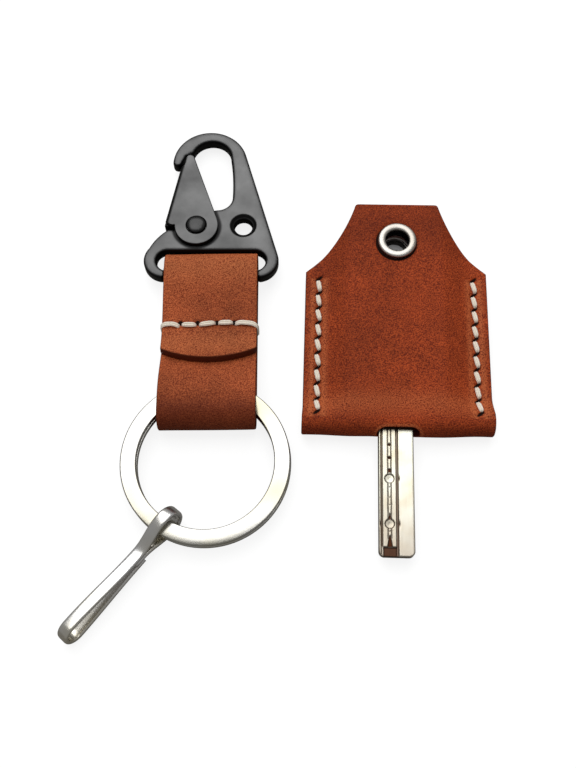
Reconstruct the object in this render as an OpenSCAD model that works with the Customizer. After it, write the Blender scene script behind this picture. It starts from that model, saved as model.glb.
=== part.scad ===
// Leather key cover with its key, and the strap fob of the same set lying beside it.
// The cover is one strip of leather folded at the bottom and sewn up both sides.
// The fob is one strip folded round a snap hook's bar and round a split ring.
// Everything lies on the plane z = 0. The origin is on the eyelet's axis at the
// cover's back face, and the cover's height runs along Y.

/* [Leather] */
// Thickness of the leather
leather_t = 1.85; // [1.5:0.05:2.1]
// Small bevel along the cut edges of the leather
edge_bevel = 0.25; // [0.1:0.05:0.4]

/* [Cover] */
// Width over the two side edges
cover_w = 39.8; // [39:0.2:48]
// Height from the top edge to the bottom fold
cover_h = 53.3; // [52:0.1:66]
// Width of the straight top edge
cover_top_w = 18.7; // [14:0.1:22]
// Drop from the top edge to where the shoulders meet the sides
shoulder_drop = 15.7; // [15:0.1:20]
// How far a shoulder curves in from the straight line
shoulder_sag = 1.4; // [0.5:0.1:2.5]
// Rounding of the two top corners
top_corner_r = 0.8; // [0.3:0.1:1.5]
// Space between the two panels over the key
pouch_gap = 2.8; // [2.7:0.1:3.6]
// Width over which the front panel comes down to its seam
pinch_w = 4.5; // [3:0.1:4.6]
// Drop from the top edge to the eyelet centre
eyelet_drop = 9.4; // [8:0.1:12]
// Height of the key slot up the front panel
slot_rise = 1.1; // [0.8:0.1:2.6]
// Rounding of the two upper corners of the key slot
slot_corner_r = 1; // [0.5:0.1:1.8]

/* [Side seams] */
// Distance from a side edge to its row of stitches
seam_inset = 2.95; // [2.6:0.05:3.1]
// Stitches in each side seam
stitch_count = 9; // [7:1:11]
// Distance from the shoulder's foot to the first hole
seam_drop = 1.7; // [1:0.1:3]
// Distance from the bottom fold to the last hole
seam_rise = 4.4; // [4.3:0.1:7]
// Radius of the seam thread
thread_r = 0.38; // [0.25:0.01:0.45]
// How far each stitch leans to either side of its row
stitch_lean = 0.3; // [0.1:0.05:0.5]

/* [Eyelets] */
// Radius of the hole through the eyelets
eyelet_bore_r = 2.6; // [2:0.1:3]
// Wall of an eyelet barrel
eyelet_wall = 0.35; // [0.25:0.05:0.5]
// Outer radius of an eyelet rim
eyelet_rim_r = 4.2; // [3.9:0.05:4.6]
// Height of the domed front rim
front_rim_h = 1; // [0.5:0.05:1.2]
// Thickness of the flat back rim, which is let into the leather
back_rim_t = 0.6; // [0.4:0.05:0.8]
// Thickness of a washer
washer_t = 0.2; // [0.15:0.01:0.2]
// Height of the barrel's end rolled over its washer
roll_h = 0.1; // [0.06:0.01:0.1]

/* [Key] */
// Width of the key's blade
blade_w = 7.2; // [6.4:0.1:8.2]
// Thickness of the key
key_t = 2; // [1.7:0.05:2.1]
// Length of blade outside the cover
blade_out = 25; // [20:0.5:30]
// Width of the key's head
head_w = 22; // [20:0.5:22]
// Length of the key's head
head_l = 24; // [20:0.5:27]
// Radius that rounds the head's corners
head_round_r = 13.4; // [12.4:0.1:15]
// Radius of the hole in the head
head_hole_r = 3; // [2:0.1:4]
// Radius of a dimple in the blade
dimple_r = 1; // [0.7:0.05:1.05]
// How far the key sits from the middle of its slot
key_shift = -0.5; // [-0.6:0.1:0.6]
// Drop from the head's top to the middle of its hole
head_hole_drop = 5.3; // [4:0.1:8]
// Rounding of the two corners at the blade's tip
tip_corner_r = 1.15; // [0.5:0.05:1.5]
// Length of the recess across the tip, between the grooves
tip_recess_l = 1.9; // [1:0.1:3]
// Length of the point that leads from the recess to the channel
tip_point_l = 2.1; // [1:0.1:4]
// Width of the wavy channel in the blade
track_w = 0.65; // [0.3:0.05:0.8]
// How far the wavy channel swings to either side
track_swing = 0.1; // [0.06:0.02:0.4]
// Depth of the grooves and dimples
groove_d = 0.45; // [0.3:0.05:0.6]

/* [Strap] */
// Width of the fob's strap
strap_w = 20.4; // [18:0.5:22]
// Distance from the stitched row to the middle of the bar's loop
loop_rise = 13.9; // [12.5:0.1:16]
// Distance from the stitched row to the middle of the ring's fold
fold_drop = 18.9; // [17:0.1:22]
// Radius of the space inside the ring's fold
fold_r = 2.15; // [2.05:0.05:2.5]
// Length of the loose tongue below the stitched row
tongue_l = 8.5; // [6:0.25:10]
// Height of the arc that ends the tongue
tongue_sag = 2.7; // [1:0.1:3.5]
// Length of the inner end above the stitched row
inner_end_l = 2.5; // [2:0.1:4]
// Distance between the four holes of the stitched row
strap_pitch = 3.9; // [3:0.1:4.4]
// Radius of the strap's thread
strap_thread_r = 0.5; // [0.35:0.01:0.6]

/* [Clip] */
// Thickness of the clip's frame
clip_t = 3.2; // [2.8:0.1:3.4]
// Height from the bar's axis to the top of the hook
clip_h = 37.1; // [36:0.1:42]
// Radius of the bar that carries the strap
bar_r = 1.5; // [1.4:0.05:1.6]
// Play of the bar in the leather loop
bar_gap = 0.3; // [0.2:0.05:0.5]
// How far the bar has slipped down inside its loop
bar_slack = 0.8; // [0:0.1:2.6]
// Distance from the strap's edge to the end of the clip's slot
slot_end_gap = 1.75; // [1.6:0.05:2.5]
// Distance from the bar's axis to the slot's upper edge
slot_h = 5.1; // [4.8:0.05:5.6]
// Width of the frame beside the slot
limb_w = 2.9; // [2.4:0.1:3.4]
// Rounding of the frame's two lower corners
frame_corner_r = 4.6; // [2.6:0.1:5]
// Outer radius of the hook
hook_r = 8.6; // [8.2:0.1:9]
// Distance of the hook's middle to the left of the slot's middle
hook_side = 1; // [0.5:0.1:1.5]
// Width of the band over the opening
top_band = 2.8; // [2.4:0.1:3.2]
// Radius of the opening under the band
opening_r = 4.4; // [4:0.1:4.7]
// Distance of the right limb's inner edge from the slot's middle
opening_side = 4.4; // [4:0.1:4.8]
// Rounding of the opening's lower corner
opening_corner_r = 2.6; // [2:0.1:3]
// How far the opening bulges into the right limb
limb_bulge = 0.5; // [0:0.1:0.8]
// Distance of the opening's upper arc to the right of the hook's middle
opening_shift = 0.4; // [0:0.1:0.8]
// Height of the opening's floor above the rivet
opening_floor = 4.5; // [4.3:0.1:5]
// Radius of the hook's nose
nose_r = 1.1; // [0.9:0.05:1.2]
// Drop from the hook's top to the middle of its nose
nose_drop = 8.35; // [8:0.05:9]
// Radius of the lanyard hole
lanyard_r = 2; // [1.6:0.1:2.3]
// Radius of the hole's mouth, where its cone meets the face
lanyard_mouth_r = 2.8; // [2.4:0.1:3]
// Depth of the cone at each end of the hole
lanyard_cone_d = 0.8; // [0.5:0.1:1.2]
// Distance of the lanyard hole to the right of the slot's middle
lanyard_side = 7; // [6.6:0.1:7.4]
// Height of the lanyard hole above the rivet
lanyard_rise = 0.45; // [0:0.05:0.8]

/* [Gate] */
// Distance of the rivet to the left of the slot's middle
rivet_side = 3.45; // [3:0.05:4]
// Height of the rivet above the slot's upper edge
rivet_rise = 5.95; // [5.6:0.05:6.6]
// Radius of the rivet's shaft
rivet_r = 1.35; // [1.1:0.05:1.4]
// Radius of the rivet's heads
rivet_head_r = 2.15; // [1.9:0.05:2.4]
// Height of the rivet's heads
rivet_head_h = 0.55; // [0.4:0.05:0.6]
// Radius of the gate's round end
gate_end_r = 4.9; // [4.7:0.05:5.1]
// Radius of the frame's boss between the gate's sheets
boss_r = 4.3; // [4:0.05:4.4]
// Drop from the hook's top to the middle of the gate's tip
tip_drop = 8.2; // [7.8:0.1:8.6]
// Distance of the gate's tip to the left of the slot's middle
tip_side = 5.5; // [5.3:0.05:5.8]
// Radius of the gate's tip
gate_tip_r = 1; // [0.9:0.05:1.1]
// Distance of the gate's heel to the left of the rivet
heel_side = 6.45; // [6.3:0.05:6.7]
// Height of the gate's heel above the rivet
heel_rise = 0.75; // [0.4:0.05:1.2]
// Thickness of the gate's folded sheet
gate_sheet_t = 0.9; // [0.6:0.05:1]
// Drop from the gate's heel to the frame's shoulder under it
heel_drop = 1.1; // [1:0.05:1.4]
// Gap between the closed gate and the hook's nose
nose_gap = 0.4; // [0.3:0.05:0.5]
// Width of the notch in the hook over the gate's tip
notch_w = 0.8; // [0.6:0.1:1.2]
// Play between the gate's sheets and the faces they slide on
gate_play = 0.08; // [0.05:0.01:0.15]
// Radius of the wire of the gate's spring
spring_wire_r = 0.22; // [0.16:0.01:0.24]
// Turns of the gate's spring
spring_turns = 2.25; // [1.25:1:2.25]
// Length of the spring's leg that lies against the gate
spring_leg = 7.3; // [5:0.1:9]
// Length of the spring's leg that lies in the frame
fixed_leg = 4.1; // [3:0.1:5]
// Depth of the spring's pocket in the frame
pocket_d = 2; // [1.6:0.1:2.2]

/* [Ring] */
// Outer radius of the split ring
ring_r = 17.4; // [16.8:0.1:18]
// Width of the ring's flat face
ring_w = 3.3; // [3:0.1:3.4]
// Thickness of one turn of the ring
turn_t = 1.05; // [0.9:0.05:1.1]
// Gap between the two turns
turn_gap = 0.12; // [0.08:0.02:0.2]
// Rounding of the ring's long edges
ring_edge = 0.3; // [0.15:0.05:0.4]
// Distance from the stitched row to the ring's centre
ring_drop = 29.7; // [29.4:0.1:30.2]
// Distance of the ring's centre to the left of the strap's middle
ring_side = 0.07; // [-0.6:0.01:0.6]
// Angle over which the ring steps from one turn to the other
jog_a = 26; // [20:1:34]

/* [Wire hook] */
// Width of the flat strip
strip_w = 2.6; // [2.1:0.05:2.8]
// Thickness of the flat strip
strip_t = 1; // [0.8:0.05:1.1]
// Length of the whole hook
wire_hook_l = 33; // [31:0.5:38]
// Inner radius of the eye round the ring
eye_r = 2.5; // [2.45:0.05:2.6]
// Inner radius of the far bend
far_r = 1.9; // [1.6:0.1:2.2]
// Distance from the eye's centre to the waist
waist_l = 8; // [7:0.25:9.5]
// Length over which the strip's two ends lie over each other
lap_l = 2; // [1:0.1:3]
// Gap between the strips at the waist
waist_gap = 0.12; // [0.08:0.01:0.2]
// Place of the hook round the ring
hook_place = 239; // [225:1:250]
// How far the hook's eye reaches in past the middle of the ring's band
hook_pull = 1; // [0:0.1:1.2]
// Direction in which the hook lies
hook_heading = 230; // [215:1:238]
// Turn of the hook about its own length
hook_roll = 12; // [0:1:13]

/* [Layout] */
// Place of the fob's stitched row across the table
fob_x = -40.3; // [-50:0.1:-39]
// Place of the fob's stitched row along the table
fob_y = -20.9; // [-24:0.1:-16]
// Turn of the fob on the table
fob_turn = 1.7; // [-2:0.1:5]
// Distance that the clip has moved sideways on its bar
clip_shift = -0.2; // [-0.6:0.1:0.6]

/* [Hidden] */
$fn = 64;
// Overrun of every cut past the face it leaves
cut = 1;
// Clearance of a round part in its hole
fit_gap = 0.05;
// Clearance of a thread in its hole
hole_gap = 0.1;
// Gap between a thread and the leather under it
touch_gap = 0.02;
// Gap that keeps a resting piece just above the table
rest_gap = 0.02;
// Gap between the leather layers of the strap
layer_gap = 0.1;
// Play of the key beside the blade, beside the head and under the head
blade_gap = 0.7;
head_gap = 0.3;
key_seat_gap = 0.35;

// Cover, worked out
top_y = eyelet_drop;
fold_y = top_y - cover_h;
shoulder_y = top_y - shoulder_drop;
cover_t = 2 * leather_t + pouch_gap;
fold_centre = fold_y + cover_t / 2;
pouch_half = head_w / 2 + head_gap;
seam_x = cover_w / 2 - seam_inset;
seam_top = shoulder_y - seam_drop;
seam_low = fold_y + seam_rise;
stitch_pitch = (seam_top - seam_low) / stitch_count;
seam_face = 2 * leather_t;
thread_groove = 2 * (thread_r + touch_gap);
pouch_steps = 8;
shoulder_steps = 12;
key_slot_half = blade_w / 2 + blade_gap;
// Groove that shows where the two panels meet at the side edges
parting_w = 0.12;
parting_d = 0.5;

// Eyelets, worked out
barrel_r = eyelet_bore_r + eyelet_wall;
front_inner = cover_t - leather_t;
rim_steps = 10;

// Key, worked out
key_z = cover_t / 2;
head_low = fold_centre - sqrt(pow(pouch_gap / 2, 2) - pow(key_t / 2, 2)) + key_seat_gap;
blade_tip = fold_y - blade_out;
// Places across the blade where its grooves start and end
groove_shares = [0.05, 0.115, 0.48, 0.56];
// Places along the blade's outer length where its dimples lie
dimple_shares = [0.26, 0.63];
track_share = 0.305;
track_waves = 5;
track_steps = 40;

// Strap, worked out
half_t = leather_t / 2;
layer_step = leather_t + layer_gap;
loop_r = bar_r + bar_gap;
loop_z = leather_t + loop_r;
fold_z = leather_t + fold_r;
middle_z = half_t + layer_step;
tongue_z = half_t + 2 * layer_step;
loop_top_z = loop_z + loop_r + half_t;
fold_top_z = fold_z + fold_r + half_t;
// Where the middle layer starts and ends its fall from the ring's fold
fall_shares = [0.85, 0.08];
row_top = 3 * leather_t + 2 * layer_gap;
strap_groove = 2 * (strap_thread_r + touch_gap);
arc_steps = 16;
leg_steps = 20;
fall_steps = 24;

// Clip, worked out. The clip's own origin is the middle of its bar.
bar_y = loop_rise - bar_slack;
slot_half = strap_w / 2 + slot_end_gap;
clip_half = slot_half + limb_w;
slot_r = (slot_h - clip_t / 2) / 2;
corner = [clip_half - frame_corner_r, frame_corner_r - clip_t / 2];
hook_c = [-hook_side, clip_h - hook_r];
rivet = [-rivet_side, slot_h + rivet_rise];
lanyard = [lanyard_side, rivet[1] + lanyard_rise];
tip = [-tip_side, clip_h - tip_drop];
heel = [rivet[0] - heel_side, rivet[1] + heel_rise];
// The nose's round end touches the hook's outer arc from inside
nose_rise = clip_h - nose_drop - hook_c[1];
nose_a = 180 - asin(nose_rise / (hook_r - nose_r));
nose_c = hook_c + polar(hook_r - nose_r, nose_a);
opening_c = [opening_shift - hook_side, clip_h - top_band - opening_r];
opening_low = [opening_side - opening_corner_r, rivet[1] + opening_floor + opening_corner_r];
step_x = heel[0] + fit_gap;
clip_steps = 14;
// Turn of the sloping sides: both are tangents of two arcs
right_a = tangent_angle(hook_c, hook_r, corner, frame_corner_r);
gate_a = tangent_angle(tip, gate_tip_r, rivet, gate_end_r);
spine_dir = unit(tip - [gate_tip_r, 0] - heel);
spine_side = [-spine_dir[1], spine_dir[0]];
gate_half = clip_t / 2 + gate_play + gate_sheet_t;
head_top = gate_half + fit_gap;
clip_tilt = asin((loop_z - gate_half - rest_gap) / (tip[1] + gate_tip_r));

// Gate's spring, worked out
pocket_floor = clip_t / 2 - pocket_d;
coil_r = rivet_r + 2 * spring_wire_r + 3 * fit_gap;
pocket_r = coil_r + 2 * spring_wire_r;
coil_low = pocket_floor + hole_gap + spring_wire_r;
coil_top = clip_t / 2 - hole_gap - spring_wire_r;
coil_steps = 20;
wire_sides = 6;

// Ring and wire hook, worked out
ring_mid_r = ring_r - ring_w / 2;
eye_z = (eye_r + strip_t) * cos(hook_roll) + strip_w / 2 * sin(hook_roll) + rest_gap;
far_z = (far_r + strip_t) * cos(hook_roll) + strip_w / 2 * sin(hook_roll) + rest_gap;
far_l = wire_hook_l - eye_r - far_r - 2 * strip_t;
hook_dip = asin((eye_z - far_z) / far_l);
jog_steps = 10;
jog_inset = 0.02;
jog_lap = 1;

function unit(v) = v / norm(v);
function smooth(u) = (1 - cos(180 * max(0, min(1, u)))) / 2;
function mix(a, b, u) = a + (b - a) * u;
function polar(r, a) = [r * cos(a), r * sin(a)];
function arc(c, r, a0, a1, steps) = [for (i = [0:steps]) c + polar(r, mix(a0, a1, i / steps))];
// Angle of the normal on the right of the line that touches two circles
function tangent_angle(c0, r0, c1, r1) =
    let (d = c1 - c0)
    atan2(d[1], d[0]) + acos((r0 - r1) / norm(d));
// Arc from p to q that bulges to the left of that line
function sag_arc(p, q, sag, steps) =
    let (
        chord = norm(q - p),
        r = (chord * chord / sag / 4 + sag) / 2,
        half = asin(chord / 2 / r),
        dir = unit(q - p),
        left = [-dir[1], dir[0]],
        c = (p + q) / 2 - left * (r - sag),
        mid = atan2(left[1], left[0])
    )
    arc(c, r, mid + half, mid - half, steps);
function curve(p, c, q, steps) = [
    for (i = [0:steps])
        let (u = i / steps)
        p * (1 - u) * (1 - u) + c * 2 * u * (1 - u) + q * u * u
];
// Outline of a strip of thickness t whose middle follows the points of path
function band(path, t) =
    let (
        n = len(path),
        sides = [
            for (i = [0:n - 1])
                let (dir = unit(path[min(i + 1, n - 1)] - path[max(i - 1, 0)]))
                [-dir[1], dir[0]] * t / 2
        ]
    )
    concat(
        [for (i = [0:n - 1]) path[i] + sides[i]],
        [for (i = [n - 1:-1:0]) path[i] - sides[i]]
    );

// Extrudes a profile drawn in X and Z along Y
module along_y(y0, y1) {
    translate([0, y1, 0])
        rotate([90, 0, 0])
            linear_extrude(height = y1 - y0)
                children();
}

// Extrudes a profile drawn in Y and Z along X
module along_x(x0, x1) {
    translate([x0, 0, 0])
        rotate([90, 0, 90])
            linear_extrude(height = x1 - x0)
                children();
}

module between(z0, z1) {
    translate([0, 0, z0])
        linear_extrude(height = z1 - z0)
            children();
}

module post(p, r, z0, z1) {
    translate([p[0], p[1], z0])
        cylinder(r = r, h = z1 - z0);
}

// One stitch: a short round-ended length of thread from p to q
module stitch(p, q, r) {
    run = q - p;
    turned = atan2(run[1], run[0]);
    raised = acos(run[2] / norm(run));
    end = [for (i = [0:2]) polar(r, -90 + 45 * i)];
    profile = concat(
        [for (e = end) [e[0], e[1]]],
        [for (i = [2:-1:0]) [end[i][0], norm(run) - end[i][1]]]
    );
    translate(p)
        rotate([0, raised, turned])
            rotate_extrude($fn = 16)
                polygon(profile);
}

// Height of a surface that lies over the key and comes down to the seams
function pouch_z(x, low, start) = low + pouch_gap * (1 - smooth((abs(x) - start) / pinch_w));
function pouch_line(low, start) = [
    for (i = [-pouch_steps:pouch_steps])
        let (x = sign(i) * (start + pinch_w * (abs(i) - 1) / (pouch_steps - 1)))
        if (i != 0) [x, pouch_z(x, low, start)]
];

module cover_section() {
    half = cover_w / 2;
    polygon(concat(
        [[-half, edge_bevel], [-half, seam_face - edge_bevel], [edge_bevel - half, seam_face]],
        pouch_line(seam_face, pouch_half + half_t / 2),
        [[half - edge_bevel, seam_face], [half, seam_face - edge_bevel], [half, edge_bevel]],
        [[half - edge_bevel, 0], [edge_bevel - half, 0]]
    ));
}

module pouch_section() {
    polygon(pouch_line(leather_t, pouch_half));
}

module cover_outline() {
    half = cover_w / 2;
    top_half = cover_top_w / 2;
    corner_low = [top_half, top_y - top_corner_r];
    shoulder = sag_arc([half, shoulder_y], corner_low, shoulder_sag, shoulder_steps);
    side = concat(
        [[half, fold_y]],
        shoulder,
        arc([top_half - top_corner_r, top_y - top_corner_r], top_corner_r, 0, 90, 4)
    );
    polygon(concat(side, [for (i = [len(side) - 1:-1:0]) [-side[i][0], side[i][1]]]));
}

// Side view of the folded strip, or of the space inside it
module fold_profile(r) {
    translate([fold_centre, cover_t / 2])
        circle(r = r);
    translate([fold_centre, cover_t / 2 - r])
        square([cover_h, 2 * r]);
}

module key_slot() {
    half = key_slot_half;
    top = fold_y + slot_rise;
    arch = concat(
        [[-half, fold_y - cut]],
        arc([slot_corner_r - half, top - slot_corner_r], slot_corner_r, 180, 90, 6),
        arc([half - slot_corner_r, top - slot_corner_r], slot_corner_r, 90, 0, 6),
        [[half, fold_y - cut]]
    );
    between(key_z, cover_t + cut)
        polygon(arch);
    translate([-half, fold_y - cut, key_z - key_t / 2 - head_gap])
        cube([2 * half, cover_t / 2 + cut, key_t + 2 * head_gap]);
}

function seam_y(i) = seam_top - stitch_pitch * i;

module cover_leather() {
    color([0.55, 0.26, 0.15])
        difference() {
            intersection() {
                along_y(fold_y, top_y) cover_section();
                between(0, cover_t) cover_outline();
                along_x(-cover_w / 2, cover_w / 2) fold_profile(cover_t / 2);
            }
            intersection() {
                along_y(fold_y, top_y + cut) pouch_section();
                along_x(-pouch_half - pinch_w, pouch_half + pinch_w) fold_profile(pouch_gap / 2);
            }
            key_slot();
            post([0, 0], barrel_r + fit_gap, -cut, cover_t + cut);
            post([0, 0], eyelet_rim_r + fit_gap, -cut, back_rim_t);
            for (side = [-1, 1]) {
                for (i = [0:stitch_count])
                    post([side * seam_x, seam_y(i)], thread_r + hole_gap, -cut, seam_face + cut);
                translate([side * seam_x - thread_r - stitch_lean - hole_gap, seam_low - 2 * thread_r, -cut])
                    cube([
                        2 * (thread_r + stitch_lean + hole_gap),
                        seam_top - seam_low + 4 * thread_r,
                        cut + thread_groove
                    ]);
                translate([side * cover_w / 2 - parting_d, fold_centre, leather_t - parting_w / 2])
                    cube([2 * parting_d, shoulder_y - fold_centre, parting_w]);
            }
        }
}

// Thread of one side seam, seen on both faces and joined through every hole
module seam_thread(x) {
    front_z = seam_face + thread_r + touch_gap;
    back_z = thread_groove / 2;
    color([0.93, 0.89, 0.8]) {
        for (i = [0:stitch_count - 1]) {
            high = [x - stitch_lean, seam_y(i) - thread_r / 2];
            low = [x + stitch_lean, seam_y(i + 1) + thread_r / 2];
            stitch([high[0], high[1], front_z], [low[0], low[1], front_z], thread_r);
            stitch([high[0], high[1], back_z], [low[0], low[1], back_z], thread_r - touch_gap);
        }
        for (i = [0:stitch_count])
            post([x, seam_y(i)], thread_r - 2 * touch_gap, back_z, front_z);
    }
}

module left_seam_thread() {
    seam_thread(-seam_x);
}

module right_seam_thread() {
    seam_thread(seam_x);
}

// Eyelet in the front panel: domed rim, barrel, and the end rolled over the washer
module front_eyelet() {
    rim_mid = (eyelet_bore_r + eyelet_rim_r) / 2;
    rim_half = (eyelet_rim_r - eyelet_bore_r) / 2;
    dome = [
        for (i = [0:rim_steps])
            [rim_mid + rim_half * cos(180 * i / rim_steps), cover_t + front_rim_h * sin(180 * i / rim_steps)]
    ];
    low = front_inner - washer_t - roll_h;
    color([0.62, 0.6, 0.57])
        rotate_extrude()
            polygon(concat(
                dome,
                [
                    [eyelet_bore_r, low],
                    [barrel_r + eyelet_wall, low],
                    [barrel_r + eyelet_wall, low + roll_h],
                    [barrel_r, low + roll_h],
                    [barrel_r, cover_t]
                ]
            ));
}

module washer(z) {
    color([0.6, 0.58, 0.55])
        translate([0, 0, z])
            difference() {
                cylinder(r = eyelet_rim_r, h = washer_t);
                translate([0, 0, -cut])
                    cylinder(r = barrel_r + fit_gap, h = washer_t + 2 * cut);
            }
}

module front_eyelet_washer() {
    washer(front_inner - washer_t);
}

// Eyelet in the back panel: its flat rim lies flush with the back face
module back_eyelet() {
    high = leather_t + washer_t + roll_h;
    color([0.6, 0.58, 0.55])
        rotate_extrude()
            polygon([
                [eyelet_bore_r, 0],
                [eyelet_rim_r, 0],
                [eyelet_rim_r, back_rim_t],
                [barrel_r, back_rim_t],
                [barrel_r, high - roll_h],
                [barrel_r + eyelet_wall, high - roll_h],
                [barrel_r + eyelet_wall, high],
                [eyelet_bore_r, high]
            ]);
}

module back_eyelet_washer() {
    washer(leather_t);
}

// Wavy channel between the blade's grooves
module blade_track() {
    x0 = blade_w * (track_share - 0.5);
    low = blade_tip + tip_recess_l + tip_point_l / 2;
    run = head_low - low;
    path = [
        for (i = [0:track_steps])
            [x0 + track_swing * sin(360 * track_waves * i / track_steps), low + run * i / track_steps]
    ];
    polygon(band(path, track_w));
}

// Recess at the tip, with a point that leads on into the channel
module tip_recess() {
    left = blade_w * (groove_shares[1] - 0.5);
    right = blade_w * (groove_shares[2] - 0.5);
    mid = blade_w * (track_share - 0.5);
    top = blade_tip + tip_recess_l;
    polygon([
        [left, blade_tip - cut],
        [right, blade_tip - cut],
        [right, top],
        [mid + track_w, top],
        [mid, top + tip_point_l],
        [mid - track_w, top],
        [left, top]
    ]);
}

module key_cuts() {
    for (i = [0, 2])
        translate([blade_w * (groove_shares[i] - 0.5), blade_tip - cut])
            square([blade_w * (groove_shares[i + 1] - groove_shares[i]), head_low - blade_tip + cut]);
    blade_track();
    tip_recess();
    for (s = dimple_shares)
        translate([blade_w * (track_share - 0.5), mix(blade_tip, fold_y, s)])
            circle(r = dimple_r);
}

module key() {
    half = blade_w / 2;
    color([0.85, 0.82, 0.72])
        translate([key_shift, 0, 0])
        difference() {
            union() {
                between(key_z - key_t / 2, key_z + key_t / 2)
                    polygon(concat(
                        [[-half, head_low + cut], [-half, blade_tip + tip_corner_r]],
                        arc([tip_corner_r - half, blade_tip + tip_corner_r], tip_corner_r, 180, 270, 5),
                        arc([half - tip_corner_r, blade_tip + tip_corner_r], tip_corner_r, 270, 360, 5),
                        [[half, head_low + cut]]
                    ));
                intersection() {
                    translate([-head_w / 2, head_low, key_z - key_t / 2])
                        cube([head_w, head_l, key_t]);
                    post([0, head_low + head_l / 2], head_round_r, key_z - key_t / 2, key_z + key_t / 2);
                }
            }
            post([0, head_low + head_l - head_hole_drop], head_hole_r, key_z - key_t, key_z + key_t);
            between(key_z + key_t / 2 - groove_d, key_z + key_t) key_cuts();
            between(key_z - key_t, key_z - key_t / 2 + groove_d)
                mirror([1, 0, 0]) key_cuts();
        }
}

module place_fob() {
    translate([fob_x, fob_y, 0])
        rotate([0, 0, fob_turn])
            children();
}

// Height of the middle layer, which falls from the ring's fold to the stitched row
function middle_at(y) =
    let (start = -fold_drop * fall_shares[0], end = -fold_drop * fall_shares[1])
    mix(fold_top_z, middle_z, smooth((y - start) / (end - start)));
function middle_slope(y) = (middle_at(y + touch_gap) - middle_at(y - touch_gap)) / (2 * touch_gap);
// Height of the top layer: loose tongue below the row, then the leg up to the loop
function top_at(y) =
    y <= 0
    ? middle_at(y) + layer_step * sqrt(1 + pow(middle_slope(y), 2))
    : mix(tongue_z, loop_top_z, smooth(y / loop_rise));

strap_path = concat(
    [for (i = [0:leg_steps]) let (y = -tongue_l * (1 - i / leg_steps)) [y, top_at(y)]],
    [for (i = [1:leg_steps - 1]) let (y = loop_rise * i / leg_steps) [y, top_at(y)]],
    arc([loop_rise, loop_z], loop_r + half_t, 90, -90, arc_steps),
    arc([-fold_drop, fold_z], fold_r + half_t, 270, 90, arc_steps),
    [
        for (i = [1:fall_steps])
            let (y = mix(-fold_drop, inner_end_l, i / fall_steps))
            [y, middle_at(y)]
    ]
);

// What is cut from the tongue's square end to leave its arc
module tongue_end() {
    end_r = (strap_w * strap_w / tongue_sag / 4 + tongue_sag) / 2;
    reach = tongue_l + cut;
    back = tongue_l - 2 * tongue_sag;
    steps = 8;
    under = [
        for (i = [0:steps])
            let (y = mix(-reach, -back, i / steps))
            [y, (middle_at(y) + top_at(y)) / 2]
    ];
    difference() {
        along_x(-strap_w, strap_w)
            polygon(concat(under, [[-back, fold_top_z * 2], [-reach, fold_top_z * 2]]));
        post([0, end_r - tongue_l], end_r, -cut, fold_top_z * 3);
    }
}

module strap_leather() {
    color([0.6, 0.32, 0.18])
        place_fob()
            difference() {
                along_x(-strap_w / 2, strap_w / 2) polygon(band(strap_path, leather_t));
                tongue_end();
                for (i = [-1.5:1:1.5])
                    post([strap_pitch * i, 0], strap_thread_r + hole_gap, -cut, row_top + cut);
                translate([-strap_w, -strap_thread_r - hole_gap, -cut])
                    cube([2 * strap_w, 2 * (strap_thread_r + hole_gap), cut + strap_groove]);
            }
}

// Row of five stitches through four holes; the outer two go round the strap's edges
module strap_thread() {
    top_z = row_top + strap_thread_r + touch_gap;
    low_z = strap_groove / 2;
    edge = strap_w / 2 + strap_thread_r + touch_gap;
    xs = concat([-edge], [for (i = [-1.5:1:1.5]) strap_pitch * i], [edge]);
    color([0.93, 0.89, 0.8])
        place_fob() {
            for (i = [0:len(xs) - 2]) {
                stitch([xs[i], 0, top_z], [xs[i + 1], 0, top_z], strap_thread_r);
                stitch([xs[i], 0, low_z], [xs[i + 1], 0, low_z], strap_thread_r - touch_gap);
            }
            for (x = xs)
                post([x, 0], strap_thread_r - 2 * touch_gap, low_z, top_z);
        }
}

// Puts the clip's own frame on the table, with its nose dipped to rest there
module place_clip() {
    place_fob()
        translate([clip_shift, bar_y, loop_z])
            rotate([-clip_tilt, 0, 0])
                children();
}

// Inner edge of the nose runs beside the closed gate
function nose_line(y) =
    let (p = heel + spine_side * nose_gap)
    [p[0] + spine_dir[0] / spine_dir[1] * (y - p[1]), y];

module frame_outline() {
    notch_y = tip[1] + gate_tip_r + nose_gap;
    shoulder_top = [step_x, heel[1] - heel_drop];
    left_a = atan2(shoulder_top[1] - corner[1], shoulder_top[0] + corner[0])
        + acos(frame_corner_r / norm(shoulder_top - [-corner[0], corner[1]]));
    inner_a = atan2(-spine_dir[0], spine_dir[1]);
    limb_top = opening_c + [opening_r, 0];
    limb_low = opening_low + [opening_corner_r, 0];
    polygon(concat(
        arc(nose_c, nose_r, inner_a, nose_a - 360, clip_steps),
        arc(hook_c, hook_r, nose_a, right_a, 2 * clip_steps),
        arc(corner, frame_corner_r, right_a, -90, clip_steps),
        arc([-corner[0], corner[1]], frame_corner_r, 270, left_a, clip_steps),
        [shoulder_top],
        arc(rivet, boss_r, 184, 80, clip_steps),
        arc(opening_low, opening_corner_r, -90, 0, 6),
        curve(limb_low, (limb_low + limb_top) / 2 + [limb_bulge, 0], limb_top, 8),
        arc(opening_c, opening_r, 5, 160, clip_steps),
        [nose_line(notch_y) + [notch_w, 0], nose_line(notch_y)]
    ));
}

module slot_outline() {
    for (side = [-1, 1])
        translate([side * (slot_half - slot_r), slot_h - slot_r])
            circle(r = slot_r);
    translate([slot_r - slot_half, slot_h - 2 * slot_r])
        square([2 * (slot_half - slot_r), 2 * slot_r]);
}

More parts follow.
